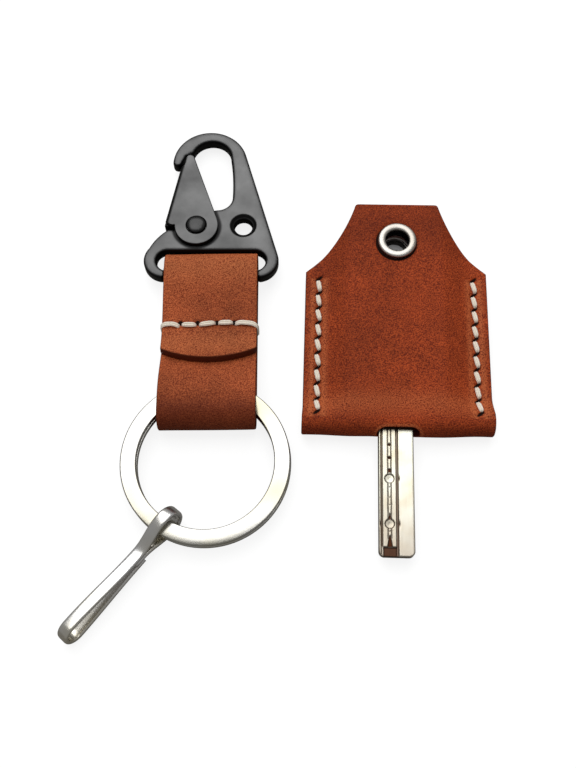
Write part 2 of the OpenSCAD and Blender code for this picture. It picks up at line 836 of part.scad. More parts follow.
// Cast frame: hook, opening, lanyard hole, spring pocket, and the slot with its bar
module clip_frame() {
    bar_free = strap_w / 2 + bar_gap;
    color([0.23, 0.24, 0.24])
        place_clip() {
            difference() {
                between(-clip_t / 2, clip_t / 2) frame_outline();
                between(-clip_t, clip_t) slot_outline();
                translate([-bar_free, -frame_corner_r, -clip_t])
                    cube([2 * bar_free, frame_corner_r + slot_h / 2, 2 * clip_t]);
                lanyard_hole();
                post(rivet, rivet_r + fit_gap, -clip_t, clip_t);
                post(rivet, pocket_r, pocket_floor, clip_t);
                spring_slots();
            }
            translate([-bar_free - slot_end_gap / 4, 0, 0])
                rotate([0, 90, 0])
                    cylinder(r = bar_r, h = 2 * bar_free + slot_end_gap / 2);
        }
}

// Round hole with a cone at each face
module lanyard_hole() {
    post(lanyard, lanyard_r, -clip_t, clip_t);
    for (side = [0, 1])
        mirror([0, 0, side])
            translate([lanyard[0], lanyard[1], clip_t / 2 - lanyard_cone_d])
                cylinder(r1 = lanyard_r, r2 = 2 * lanyard_mouth_r - lanyard_r, h = 2 * lanyard_cone_d);
}

// Slots that let the spring's two legs out of its pocket
module spring_slots() {
    w = 2 * (spring_wire_r + hole_gap);
    translate([rivet[0] - coil_r - w / 2, rivet[1], coil_top - w / 2])
        cube([w, boss_r, clip_t]);
    translate([rivet[0], rivet[1] - coil_r - w / 2, pocket_floor])
        cube([fixed_leg + hole_gap, w, clip_t]);
}

// Rivet with a domed head on each side
module gate_rivet() {
    dome_r = (rivet_head_r * rivet_head_r / rivet_head_h + rivet_head_h) / 2;
    dome_a = asin(rivet_head_r / dome_r);
    dome = [
        for (i = [0:6])
            let (a = dome_a * (1 - i / 6))
            [dome_r * sin(a), head_top + rivet_head_h - dome_r * (1 - cos(a))]
    ];
    color([0.2, 0.2, 0.2])
        place_clip()
            translate([rivet[0], rivet[1], 0])
                rotate_extrude()
                    polygon(concat(
                        [[rivet_r, -head_top], [rivet_r, head_top]],
                        dome,
                        [for (i = [6:-1:0]) [dome[i][0], -dome[i][1]]]
                    ));
}

// Tube of the spring's wire, swept along points in space
module wire_tube(points, r) {
    n = len(points);
    rings = [
        for (i = [0:n - 1])
            let (
                dir = points[min(i + 1, n - 1)] - points[max(i - 1, 0)],
                ahead = dir / norm(dir),
                side = cross([0, 0, 1], ahead),
                out = side / norm(side),
                up = cross(ahead, out)
            )
            for (k = [0:wire_sides - 1])
                points[i] + r * (cos(360 * k / wire_sides) * out + sin(360 * k / wire_sides) * up)
    ];
    sides = [
        for (i = [0:n - 2])
            for (k = [0:wire_sides - 1])
                let (a = i * wire_sides + k, b = i * wire_sides + (k + 1) % wire_sides)
                each [[a, a + wire_sides, b], [b, a + wire_sides, b + wire_sides]]
    ];
    first = [for (k = [1:wire_sides - 2]) [0, k, k + 1]];
    base = (n - 1) * wire_sides;
    last = [for (k = [1:wire_sides - 2]) [base, base + k + 1, base + k]];
    polyhedron(points = rings, faces = concat(sides, first, last));
}

// Torsion spring round the rivet: one leg lies in the frame, the other behind the gate
module gate_spring() {
    n = ceil(spring_turns * coil_steps);
    coil = [
        for (i = [0:n])
            let (a = 180 + 360 * spring_turns * (1 - i / n), p = rivet + polar(coil_r, a))
            [p[0], p[1], mix(coil_low, coil_top, i / n)]
    ];
    start = rivet + polar(coil_r, 180 + 360 * spring_turns);
    color([0.7, 0.7, 0.7])
        place_clip()
            wire_tube(concat(
                [[start[0] + fixed_leg, start[1], coil_low]],
                coil,
                [[rivet[0] - coil_r, rivet[1] + spring_leg, coil_top]]
            ), spring_wire_r);
}

module gate_outline() {
    polygon(concat(
        arc(tip, gate_tip_r, 180, gate_a, 8),
        arc(rivet, gate_end_r, gate_a, -180, 2 * clip_steps),
        [[heel[0] + heel_rise, heel[1] - heel_rise], heel]
    ));
}

// Folded sheet: two sheets over the frame's faces, joined by a spine along the left
module clip_gate() {
    sheet_in = clip_t / 2 + gate_play;
    spine_top = tip - [gate_tip_r, 0];
    spine_low = heel - spine_dir * heel_rise;
    color([0.27, 0.28, 0.28])
        place_clip()
            difference() {
                union() {
                    for (side = [0, 1])
                        mirror([0, 0, side])
                            between(sheet_in, gate_half) gate_outline();
                    between(-gate_half, gate_half)
                        polygon([
                            spine_low, spine_top,
                            spine_top - spine_side * gate_sheet_t, spine_low - spine_side * gate_sheet_t
                        ]);
                }
                post(rivet, rivet_r + fit_gap, -clip_t * 2, clip_t * 2);
            }
}

module ring_section(z, inset) {
    w = ring_w / 2 - inset;
    t = turn_t / 2 - inset;
    e = ring_edge;
    translate([ring_mid_r, z])
        polygon([
            [-w, e - t], [e - w, -t], [w - e, -t], [w, e - t],
            [w, t - e], [w - e, t], [e - w, t], [-w, t - e]
        ]);
}

// Sloping stretch where the ring steps from its lower turn to its upper one
module ring_jog(low, high) {
    w = ring_w / 2 - jog_inset;
    t = turn_t / 2 - jog_inset;
    e = ring_edge;
    profile = [
        [-w, e - t], [e - w, -t], [w - e, -t], [w, e - t],
        [w, t - e], [w - e, t], [e - w, t], [-w, t - e]
    ];
    n = len(profile);
    rings = [
        for (i = [0:jog_steps])
            let (
                a = mix(-jog_a / 2 - jog_lap, jog_a / 2 + jog_lap, i / jog_steps),
                z = mix(low, high, smooth((a + jog_a / 2) / jog_a))
            )
            for (p = profile)
                [(ring_mid_r + p[0]) * cos(a), (ring_mid_r + p[0]) * sin(a), z + p[1]]
    ];
    sides = [
        for (i = [0:jog_steps - 1])
            for (k = [0:n - 1])
                let (a = i * n + k, b = i * n + (k + 1) % n)
                each [[a, b, a + n], [b, b + n, a + n]]
    ];
    base = jog_steps * n;
    polyhedron(
        points = rings,
        faces = concat(
            sides,
            [for (k = [1:n - 2]) [0, k + 1, k]],
            [for (k = [1:n - 2]) [base, base + k, base + k + 1]]
        )
    );
}

// Ring of two flat turns, one on the other, made from a single length
module split_ring() {
    low = -(turn_t + turn_gap) / 2;
    color([0.8, 0.8, 0.8])
        place_fob()
            translate([-ring_side, -ring_drop, eye_z])
                rotate([0, 0, 90]) {
                    rotate([0, 0, jog_a / 2])
                        rotate_extrude(angle = 360 - jog_a, $fn = 96) ring_section(low, 0);
                    rotate([0, 0, jog_a / 2])
                        rotate_extrude(angle = 360 - jog_a, $fn = 96) ring_section(-low, 0);
                    ring_jog(low, -low);
                }
}

// Half height of the wire hook's outer strip, from eye to waist to far bend
function hook_side_at(u) =
    u <= waist_l
    ? mix(eye_r + strip_t / 2, (strip_t + waist_gap) / 2, smooth(u / waist_l))
    : mix((strip_t + waist_gap) / 2, far_r + strip_t / 2, smooth((u - waist_l) / (far_l - waist_l)));
// The far loop's free end lies under the eye's end at the waist
function hook_under_at(u) =
    mix(
        (strip_t + waist_gap) * 1.5, far_r + strip_t / 2,
        smooth((u - waist_l - lap_l) / (far_l - waist_l - lap_l))
    );

hook_path = concat(
    [[waist_l + lap_l, -(strip_t + waist_gap) / 2]],
    [for (i = [12:-1:1]) let (u = waist_l * i / 12) [u, -hook_side_at(u)]],
    arc([0, 0], eye_r + strip_t / 2, 270, 90, 20),
    [for (i = [1:12]) let (u = waist_l * i / 12) [u, hook_side_at(u)]],
    [for (i = [1:13]) let (u = mix(waist_l, far_l, i / 14)) [u, hook_side_at(u)]],
    arc([far_l, 0], far_r + strip_t / 2, 90, -90, 16),
    [for (i = [13:-1:0]) let (u = mix(waist_l, far_l, i / 14)) [u, -hook_under_at(u)]]
);

module place_hook() {
    eye = polar(ring_mid_r, hook_place);
    place_fob()
        translate([eye[0] - ring_side, eye[1] - ring_drop, eye_z])
            rotate([0, 0, hook_heading])
                rotate([0, hook_dip, 0])
                    rotate([hook_roll, 0, 0])
                        translate([-hook_pull, 0, 0])
                            children();
}

// Spring hook bent from one flat strip
module wire_hook() {
    color([0.82, 0.81, 0.8])
        place_hook()
            translate([0, strip_w / 2, 0])
                rotate([90, 0, 0])
                    linear_extrude(height = strip_w)
                        polygon(band(hook_path, strip_t));
}

cover_leather();
left_seam_thread();
right_seam_thread();
front_eyelet();
front_eyelet_washer();
back_eyelet();
back_eyelet_washer();
key();
strap_leather();
strap_thread();
clip_frame();
gate_rivet();
gate_spring();
clip_gate();
split_ring();
wire_hook();
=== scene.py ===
import bpy
import numpy as np
from mathutils import Matrix


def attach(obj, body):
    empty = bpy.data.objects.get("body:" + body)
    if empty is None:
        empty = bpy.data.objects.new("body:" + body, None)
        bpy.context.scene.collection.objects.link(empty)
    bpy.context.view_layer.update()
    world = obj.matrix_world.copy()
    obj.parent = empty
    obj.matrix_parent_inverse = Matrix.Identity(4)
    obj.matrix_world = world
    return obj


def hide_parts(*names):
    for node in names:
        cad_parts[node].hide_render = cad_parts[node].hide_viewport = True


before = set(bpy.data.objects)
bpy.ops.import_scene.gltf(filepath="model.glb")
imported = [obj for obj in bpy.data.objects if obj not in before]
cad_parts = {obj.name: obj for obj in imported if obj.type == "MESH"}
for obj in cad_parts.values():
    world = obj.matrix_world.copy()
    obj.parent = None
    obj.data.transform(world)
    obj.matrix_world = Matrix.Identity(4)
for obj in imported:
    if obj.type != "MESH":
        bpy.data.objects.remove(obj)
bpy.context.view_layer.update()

# Table, light and camera

# A white table, one large softbox over its far side and a dim surround, as for a
# catalogue picture. The softbox shows as the bright face of every flat metal piece.
# Sizes are in millimetres. The origin is on the table, under the front eyelet's axis.
MM = 0.001


def linear(code):
    """sRGB hex colour as linear red, green, blue and alpha."""
    c = np.array([int(code[i:i + 2], 16) for i in (1, 3, 5)]) / 255
    c = np.where(c <= 0.04045, c / 12.92, ((c + 0.055) / 1.055) ** 2.4)
    return (*c.tolist(), 1.0)


def add(tree, kind, inputs=None, stops=(), **settings):
    """Adds a node, sets its settings, gives a ramp its stops, each a place and an sRGB hex
    colour, and fills the node's inputs with values or with (node, output)."""
    made = tree.nodes.new("ShaderNode" + kind)
    for name, value in settings.items():
        setattr(made, name, value)
    for i, (place, code) in enumerate(stops):
        made.color_ramp.elements[i].position = place
        made.color_ramp.elements[i].color = linear(code)
    for socket, value in (inputs or {}).items():
        if isinstance(value, tuple) and isinstance(value[0], bpy.types.Node):
            tree.links.new(value[0].outputs[value[1]], made.inputs[socket])
        else:
            made.inputs[socket].default_value = value
    return made


def new_material(name):
    """An empty material and its node tree."""
    made = bpy.data.materials.new(name)
    made.use_nodes = True
    made.node_tree.nodes.clear()
    return made, made.node_tree


table_size, table_drop = 1.6, 0.05 * MM
table_mesh = bpy.data.meshes.new("table")
corners = np.array([[-1, -1, 0], [1, -1, 0], [1, 1, 0], [-1, 1, 0]]) * table_size
table_mesh.from_pydata((corners - [0, 0, table_drop]).tolist(), [], [[0, 1, 2, 3]])
table = bpy.data.objects.new("table", table_mesh)
bpy.context.scene.collection.objects.link(table)

# Matt white board. The camera sees it part lit and part plain white, so that it stays white
# and still carries the object's soft shadow; to the pieces it is a pale grey table, and in
# their shine it is darker, as under black flags at the picture's sides.
board, tree = new_material("matt_white_board")
rays = add(tree, "LightPath")
bounced = add(tree, "Mix", {
    0: (rays, "Is Glossy Ray"), 6: linear("#A2A09C"), 7: linear("#84827E")}, data_type="RGBA")
seen = add(tree, "Mix", {0: (rays, "Is Camera Ray"), 6: (bounced, 2), 7: linear("#F2F2F2")}, data_type="RGBA")
lit = add(tree, "BsdfDiffuse", {"Color": (seen, 2)})
plain = add(tree, "Emission", {"Color": (1, 1, 1, 1), "Strength": 1.22})
# Within 5 mm of the eyelet's axis, where only its hole shows it, the board is seen as it is lit
spot = add(tree, "TexCoord")
away = add(tree, "VectorMath", {0: (spot, "Object")}, operation="LENGTH")
clear = add(tree, "MapRange", {
    "Value": (away, "Value"), "From Min": 5 * MM, "From Max": 6 * MM, "To Min": 0.06, "To Max": 0.68})
share = add(tree, "Math", {0: (rays, "Is Camera Ray"), 1: (clear, 0)}, operation="MULTIPLY")
mixed = add(tree, "MixShader", {0: (share, 0), 1: (lit, 0), 2: (plain, 0)})
add(tree, "OutputMaterial", {"Surface": (mixed, 0)})
table_mesh.materials.append(board)

world = bpy.data.worlds.new("studio")
world.use_nodes = True
tree = world.node_tree
tree.nodes.clear()
rays = add(tree, "LightPath")
level = add(tree, "Math", {0: (rays, "Is Glossy Ray"), 1: -0.1, 2: 0.36}, operation="MULTIPLY_ADD")
surround = add(tree, "Background", {"Color": linear("#FFFFFF"), "Strength": (level, 0)})
white = add(tree, "Background", {"Color": (1, 1, 1, 1), "Strength": 1.0})
mixed = add(tree, "MixShader", {0: (rays, "Is Camera Ray"), 1: (surround, 0), 2: (white, 0)})
add(tree, "OutputWorld", {"Surface": (mixed, 0)})
bpy.context.scene.world = world

set_middle = np.array([-22, -28, 0]) * MM


def softbox(name, towards, distance, size, radiance):
    """A rectangular lamp set off from the middle of the set and facing it: its power is its
    radiance times pi times its area."""
    lamp = bpy.data.lights.new(name, "AREA")
    lamp.shape = "RECTANGLE"
    lamp.size, lamp.size_y = size
    lamp.energy = radiance * np.pi * size[0] * size[1]
    made = bpy.data.objects.new(name, lamp)
    bpy.context.scene.collection.objects.link(made)
    z = np.array(towards, float)
    z /= np.linalg.norm(z)
    x = np.cross([0, 1, 0], z)
    x /= np.linalg.norm(x)
    axes = np.eye(4)
    axes[:3, :3] = np.stack([x, np.cross(z, x), z], 1)
    axes[:3, 3] = set_middle + z * distance
    made.matrix_world = Matrix(axes.tolist())


softbox("overhead_softbox", towards=(-0.14, 0.5, 0.86), distance=0.7, size=(0.7, 0.78), radiance=2.1)

# The camera looks down on the table, 20 degrees off the vertical. Its place, its turn and its
# focal length in pixels were fitted to the outlines of a picture 768 pixels high.
picture_h, focal_px, sensor_w = 768, 900, 36
camera_at = (-0.021177, -0.098172, 0.182300)
cam = bpy.data.cameras.new("camera")
cam.sensor_width = sensor_w
cam.lens = focal_px / picture_h * sensor_w
camera = bpy.data.objects.new("camera", cam)
bpy.context.scene.collection.objects.link(camera)
turn, tilt = np.radians(1.7), np.radians(20)
right = np.array([np.cos(turn), np.sin(turn), 0])
ahead = np.array([-np.sin(turn) * np.sin(tilt), np.cos(turn) * np.sin(tilt), -np.cos(tilt)])
axes = np.eye(4)
axes[:3, :3] = np.stack([right, np.cross(-ahead, right), -ahead], 1)
axes[:3, 3] = camera_at
camera.matrix_world = Matrix(axes.tolist())
bpy.context.scene.camera = camera
bpy.context.scene.view_settings.view_transform = "Standard"

# Cover

# One strip of vegetable-tanned, wax-finished leather, folded at the bottom, sewn up both
# sides and burnished dark along its cut edges. The front panel bulges over the key's head.
leather_t, cut_round = 1.85, 0.35
cover_half, cover_top_half = 19.9, 9.35
cover_top, shoulder_foot, top_corner_r = 9.4, -6.3, 0.8
shoulder_r, shoulder_x, shoulder_y = 30.46, 38.34, 17.94
cover_t, fold_y, skew = 6.5, -40.65, 0.014
flare, flare_l = 0.15, 3.0
front_hole_r, back_hole_r = 3.0, 4.1
key_slot_half, key_slot_r = 4.35, 1.9
key_slot_low_share, key_slot_high_share = 0.225, 0.61
seam_face, pouch_gap = 2 * leather_t, cover_t - 2 * leather_t
pinch_start, pinch_w = 9.6, 6.7
swell_share, swell_from, swell_l = 0.78, 5.5, 5.0
seam_x, seam_top, stitch_pitch, stitch_count = 16.95, -8.0, 3.5, 9
slit_w, slit_l, slit_dent, hole_dent = 0.32, 0.95, 0.35, 0.18
stitch_dent, ridge_off, ridge_h = 0.09, 1.25, 0.07
groove_deep, groove_w = 0.78, 0.75
hole_y = seam_top - stitch_pitch * np.arange(stitch_count + 1)
front_l, fold_l = cover_top - fold_y, np.pi * cover_t / 2
cover_l = 2 * front_l + fold_l


def ease(t):
    """Half a cosine wave from 0 to 1."""
    return (1 - np.cos(np.pi * np.clip(t, 0, 1))) / 2


def bump(x, y, width, height):
    """Bell shape, 1 at the middle and about a third at the given distances."""
    return np.exp(-(x / width) ** 2 - (y / height) ** 2)


def cut_sheet(us, vs, depth, edge, steps=4):
    """A flat sheet on a grid of lines, kept where depth(u, v), the distance in from the
    nearest cut edge, is over edge. The rim is slid on to the line depth = edge, each step
    along the slope of depth. Rings lead on outwards by edge * sin(t) and fall by
    edge * (1 - cos(t)), a quarter circle. Gives the points of one face, their fall, and
    the faces of both sides and the wall."""
    u, v = np.meshgrid(us, vs, indexing="ij")
    p = np.stack([u.ravel(), v.ravel()], 1)
    ids = np.arange(len(p)).reshape(u.shape)
    quads = np.stack([ids[:-1, :-1], ids[1:, :-1], ids[1:, 1:], ids[:-1, 1:]], -1).reshape(-1, 4)
    quads = quads[depth(*p[quads].mean(1).T) > edge]
    used, quads = np.unique(quads, return_inverse=True)
    p, quads = p[used], quads.reshape(-1, 4)
    a, b = quads.ravel(), np.roll(quads, -1, 1).ravel()
    pair = np.minimum(a, b) * len(p) + np.maximum(a, b)
    _, first, count = np.unique(pair, return_index=True, return_counts=True)
    a, b = a[first[count == 1]], b[first[count == 1]]
    rim = np.unique(a)
    q, small = p[rim], 0.01
    for _ in range(4):
        slope = np.stack([
            depth(q[:, 0] + small, q[:, 1]) - depth(q[:, 0] - small, q[:, 1]),
            depth(q[:, 0], q[:, 1] + small) - depth(q[:, 0], q[:, 1] - small)], 1) / (2 * small)
        long = np.maximum(np.linalg.norm(slope, axis=1, keepdims=True), 0.2)
        q = q + (edge - depth(q[:, 0], q[:, 1]))[:, None] * slope / long ** 2
    p[rim] = q
    out = -slope / long
    angles = np.pi / 2 * np.arange(1, steps + 1) / steps
    rings = (q + out * edge * np.sin(angles)[:, None, None]).reshape(-1, 2)
    flat = np.concatenate([p, rings])
    fall = np.concatenate([np.zeros(len(p)), np.repeat(edge * (1 - np.cos(angles)), len(rim))])
    level = [rim] + [len(p) + k * len(rim) + np.arange(len(rim)) for k in range(steps)]
    ia, ib = np.searchsorted(rim, a), np.searchsorted(rim, b)
    bands = [np.stack([n[ib], n[ia], m[ia], m[ib]], 1) for n, m in zip(level, level[1:])]
    upper = np.concatenate([quads] + bands)
    last, n = level[-1], len(flat)
    wall = np.stack([last[ib], last[ia], last[ia] + n, last[ib] + n], 1)
    return flat, fall, np.concatenate([upper, upper[:, ::-1] + n, wall])


def skin(name, points, faces, tags=None):
    """A smooth mesh object from points in millimetres, with one float tag per point."""
    mesh = bpy.data.meshes.new(name)
    mesh.from_pydata((points * MM).tolist(), [], [face for part in faces for face in part.tolist()])
    mesh.polygons.foreach_set("use_smooth", np.ones(len(mesh.polygons), bool))
    for tag, values in (tags or {}).items():
        mesh.attributes.new(tag, "FLOAT", "POINT").data.foreach_set("value", np.asarray(values, np.float32))
    mesh.update()
    made = bpy.data.objects.new(name, mesh)
    bpy.context.scene.collection.objects.link(made)
    return made


def fit(piece, finish, body, node):
    """Gives a piece its finish and the body it rides on, and hides the CAD node that it stands for."""
    piece.data.materials.append(finish)
    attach(piece, body)
    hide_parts(node)


def cover_edge(y):
    """Half width at height y: straight sides that flare a little at the fold, and shoulders
    that are arcs of one circle, with its centre out to the side."""
    hollow = shoulder_x - np.sqrt(np.maximum(shoulder_r ** 2 - (y - shoulder_y) ** 2, 0))
    side = cover_half + flare * ease((fold_y + flare_l - y) / flare_l)
    return np.where(y < shoulder_foot, side, np.where(y < cover_top - top_corner_r, hollow, cover_top_half))


def cover_place_y(v):
    """Height on the table of a point v along the strip: down the front, round the fold by
    the sine of the angle turned, and up the back."""
    t = np.clip((v - front_l) / fold_l, 0, 1) * np.pi
    return np.where(
        v < front_l, cover_top - v,
        np.where(v < front_l + fold_l, fold_y - cover_t / 2 * np.sin(t), fold_y + v - front_l - fold_l))


def rounded(p, q, r):
    """Distance in from two edges that meet in a corner of radius r: the nearer edge's, or in
    the corner r less the distance from its centre."""
    near = np.minimum(p, q)
    corner = r - np.hypot(np.maximum(r - p, 0), np.maximum(r - q, 0))
    return np.where((p < r) & (q < r), corner, near)


def box_depth(x, y, half_x, low, high, r):
    """Distance in from the edge of a rectangle with corners of radius r: r less the distance
    out from the same rectangle drawn in by r, or plus the distance in from it."""
    qx, qy = np.abs(x) - half_x + r, np.abs(y - (low + high) / 2) - (high - low) / 2 + r
    return r - np.hypot(np.maximum(qx, 0), np.maximum(qy, 0)) - np.minimum(np.maximum(qx, qy), 0)


def cover_depth(u, v):
    """Distance in from the strip's nearest cut edge: its sides, measured square to their
    slope, its ends, the eyelets' holes, and the key's slot, a rounded box across the fold."""
    y = cover_place_y(v)
    lean = (cover_edge(y + 0.05) - cover_edge(y - 0.05)) / 0.1
    side = (cover_edge(y) - np.abs(u)) / np.sqrt(1 + np.minimum(lean ** 2, 4))
    outline = rounded(side, np.minimum(v, cover_l - v), top_corner_r)
    front_hole = np.hypot(u, v - cover_top) - front_hole_r
    back_hole = np.hypot(u, v - (cover_l - cover_top)) - back_hole_r
    low, high = front_l + key_slot_low_share * fold_l, front_l + key_slot_high_share * fold_l
    key_slot = -box_depth(u, v, key_slot_half, low, high, key_slot_r)
    return np.minimum.reduce([outline, key_slot, front_hole, back_hole])


def front_height(x, y):
    """Height of the front face: full over the key, down to the seams at the sides, and up
    again to the rolled fold. What stays open is the product of 1 less each of both shares."""
    t = np.clip((np.abs(x) - pinch_start) / pinch_w, 0, 1)
    over_key = 1 - (t + ease(t)) / 2
    by_fold = swell_share * ease((fold_y + swell_from - y) / swell_l)
    return seam_face + pouch_gap * (1 - (1 - over_key) * (1 - by_fold))


def seam_marks(x, y):
    """Depth of the dents that the thread pulls into the face, and how far each point lies in
    a dark mark: sums and highest values of bell shapes at every slanted slit and stitch."""
    dent, slit = np.zeros_like(x), np.zeros_like(x)
    for side in (-1, 1):
        dx = x - side * seam_x
        for i, hy in enumerate(hole_y):
            dy = y - hy
            along, across = 0.8 * dx + 0.6 * dy, 0.6 * dx - 0.8 * dy
            mark = bump(across, along, slit_w, slit_l)
            slit = np.maximum(slit, mark)
            dent += hole_dent * bump(dx, dy, 0.8, 0.7) + slit_dent * mark
            if i < stitch_count:
                dent += stitch_dent * bump(dx, dy + stitch_pitch / 2, 0.75, 1.3)
                dent -= ridge_h * bump(np.abs(dx) - ridge_off, dy + stitch_pitch / 2, 0.45, 1.1)
    # Creases from the last stitch out to the edge
    for crease_x, crease_y in ((-18.9, -39.5), (18.9, -40.3)):
        dx = x - crease_x
        dent += 0.16 * bump(dx, y - crease_y - 0.12 * dx, 1.1, 0.2)
    # Painted shadow round the eyelet's rim, centred a little to the lower left, and one old slanted scratch
    # low on the face
    painted_rim_shadow = bump(np.hypot(x + 0.14, y + 0.26) - 4.2, 0, 0.34, 1)
    dx, dy = 0.7 * (x + 2.3), 0.7 * (y + 31.6)
    scratch = bump(dx + dy, dx - dy, 0.11, 0.75)
    return dent + 0.08 * scratch, np.maximum.reduce([slit, 0.3 * scratch, painted_rim_shadow])


def ripple(x, y, size, seed):
    """Sum of five slanted sine waves, about -1 to 1, for hand-cut and hand-worked faces."""
    draws = np.random.default_rng(seed).uniform(-1, 1, (5, 3))
    return sum(np.sin((x * a + y * b) * 6.3 / size + c * 3.1) for a, b, c in draws) / 2.5


# Grid lines: close together round the eyelet and along the seams
hub, hub_step, beside_seam, past_seam, seam_step, first_stitch = 5.3, 0.25, 15.6, 18.4, 0.14, -7.0
seam_cols = np.arange(beside_seam, past_seam, seam_step)
hub_cols = np.arange(-hub, hub + 0.01, hub_step)
mid_cols = np.linspace(hub, beside_seam, 22)[1:]
edge_cols = np.arange(past_seam, cover_half + 0.7, hub_step)
us = np.unique(np.round(np.concatenate([
    -edge_cols, -seam_cols, -mid_cols, hub_cols, mid_cols, seam_cols, edge_cols]), 4))
row_y = np.concatenate([
    np.arange(cover_top + 0.2, hub, -0.4), np.arange(hub, -hub, -hub_step),
    np.arange(-hub, first_stitch, -0.36), np.arange(first_stitch, fold_y, -0.21)])
vs = np.concatenate([
    cover_top - row_y,
    front_l + fold_l * np.linspace(0.003, 1, 42),
    front_l + fold_l + np.linspace(0.8, front_l + 0.3, 62)])
flat, fall, faces = cut_sheet(us, vs, cover_depth, cut_round)
x, v = -flat[:, 0], flat[:, 1]
y = cover_place_y(v)
turned = np.clip((v - front_l) / fold_l, 0, 1) * np.pi
on_front = v <= front_l
on_back = v >= front_l + fold_l
high = front_height(x, np.maximum(y, fold_y))
dent, slit = seam_marks(x, y)
edge_in = cover_depth(-x, v)
# The face is a little uneven. The seams' back rows lie in grooves, and the front eyelet's rim
# sinks in.
uneven = 0.05 * ripple(x, y, 17, 3)
in_seam = ease((seam_top + 1 - y) / 0.8) * ease((y - hole_y[-1] + 1) / 0.8)
groove = groove_deep * bump(np.abs(x) - seam_x, 0, groove_w, 1) * in_seam
sunk = 0.3 * bump(np.hypot(x, y) - 4.3, 0, 0.5, 1)
outer = leather_t - fall + uneven * ease(edge_in / 2)
outer -= np.where(on_back, groove + 0.05 + uneven, dent * (1 - np.sin(turned)) + sunk)


def roll(h):
    """Place of a point h above the strip's inner face: on the front, round the fold or on
    the back. The strip is cut a little out of square, so its right side stands higher."""
    r = high / 2 - leather_t + h
    py = np.where(on_front | on_back, y, fold_y - r * np.sin(turned))
    pz = np.where(on_front, high - leather_t + h, high / 2 + r * np.cos(turned))
    pz = np.where(on_back, leather_t - h, pz)
    return np.stack([x, py + skew * x, pz], 1)


points = np.concatenate([roll(outer), roll(fall)])
# Paler where it is pulled: over the fold, along both seams, and in a lip round the key's slot.
# On the band where the front tilts towards the light as it rises to the fold, and on the slot's lip, it is
# also a painted highlight.
pull = 0.7 * bump(y - (fold_y + 3.2), 0, 2.4, 1) * on_front
pull += 1.1 * bump(np.abs(np.abs(x) - seam_x) - ridge_off, 0, 0.7, 1) * ((y < seam_top) & on_front)
by_slot = (np.abs(x) < 6) & (v > front_l) & (v < front_l + 0.8 * fold_l)
pull += 1.3 * bump(edge_in - 0.5, 0, 0.26, 1) * by_slot
# Painted shade round the fold, which turns down away from the light, and darker a little towards the top
handled = 0.62 * ease((v - front_l - 0.5) / 3.0) + 0.42 * ease((y + 8) / 14) * on_front
# The slit tag also carries the painted shadow round the eyelet's rim
cover = skin("cover_leather_strip", points, [faces], {
    "rim": np.tile(np.clip(edge_in, 0, 4), 2), "pull": np.concatenate([pull, 0 * x]),
    "slit": np.concatenate([slit * ~on_back, 0 * x]), "handled": np.tile(handled, 2)})


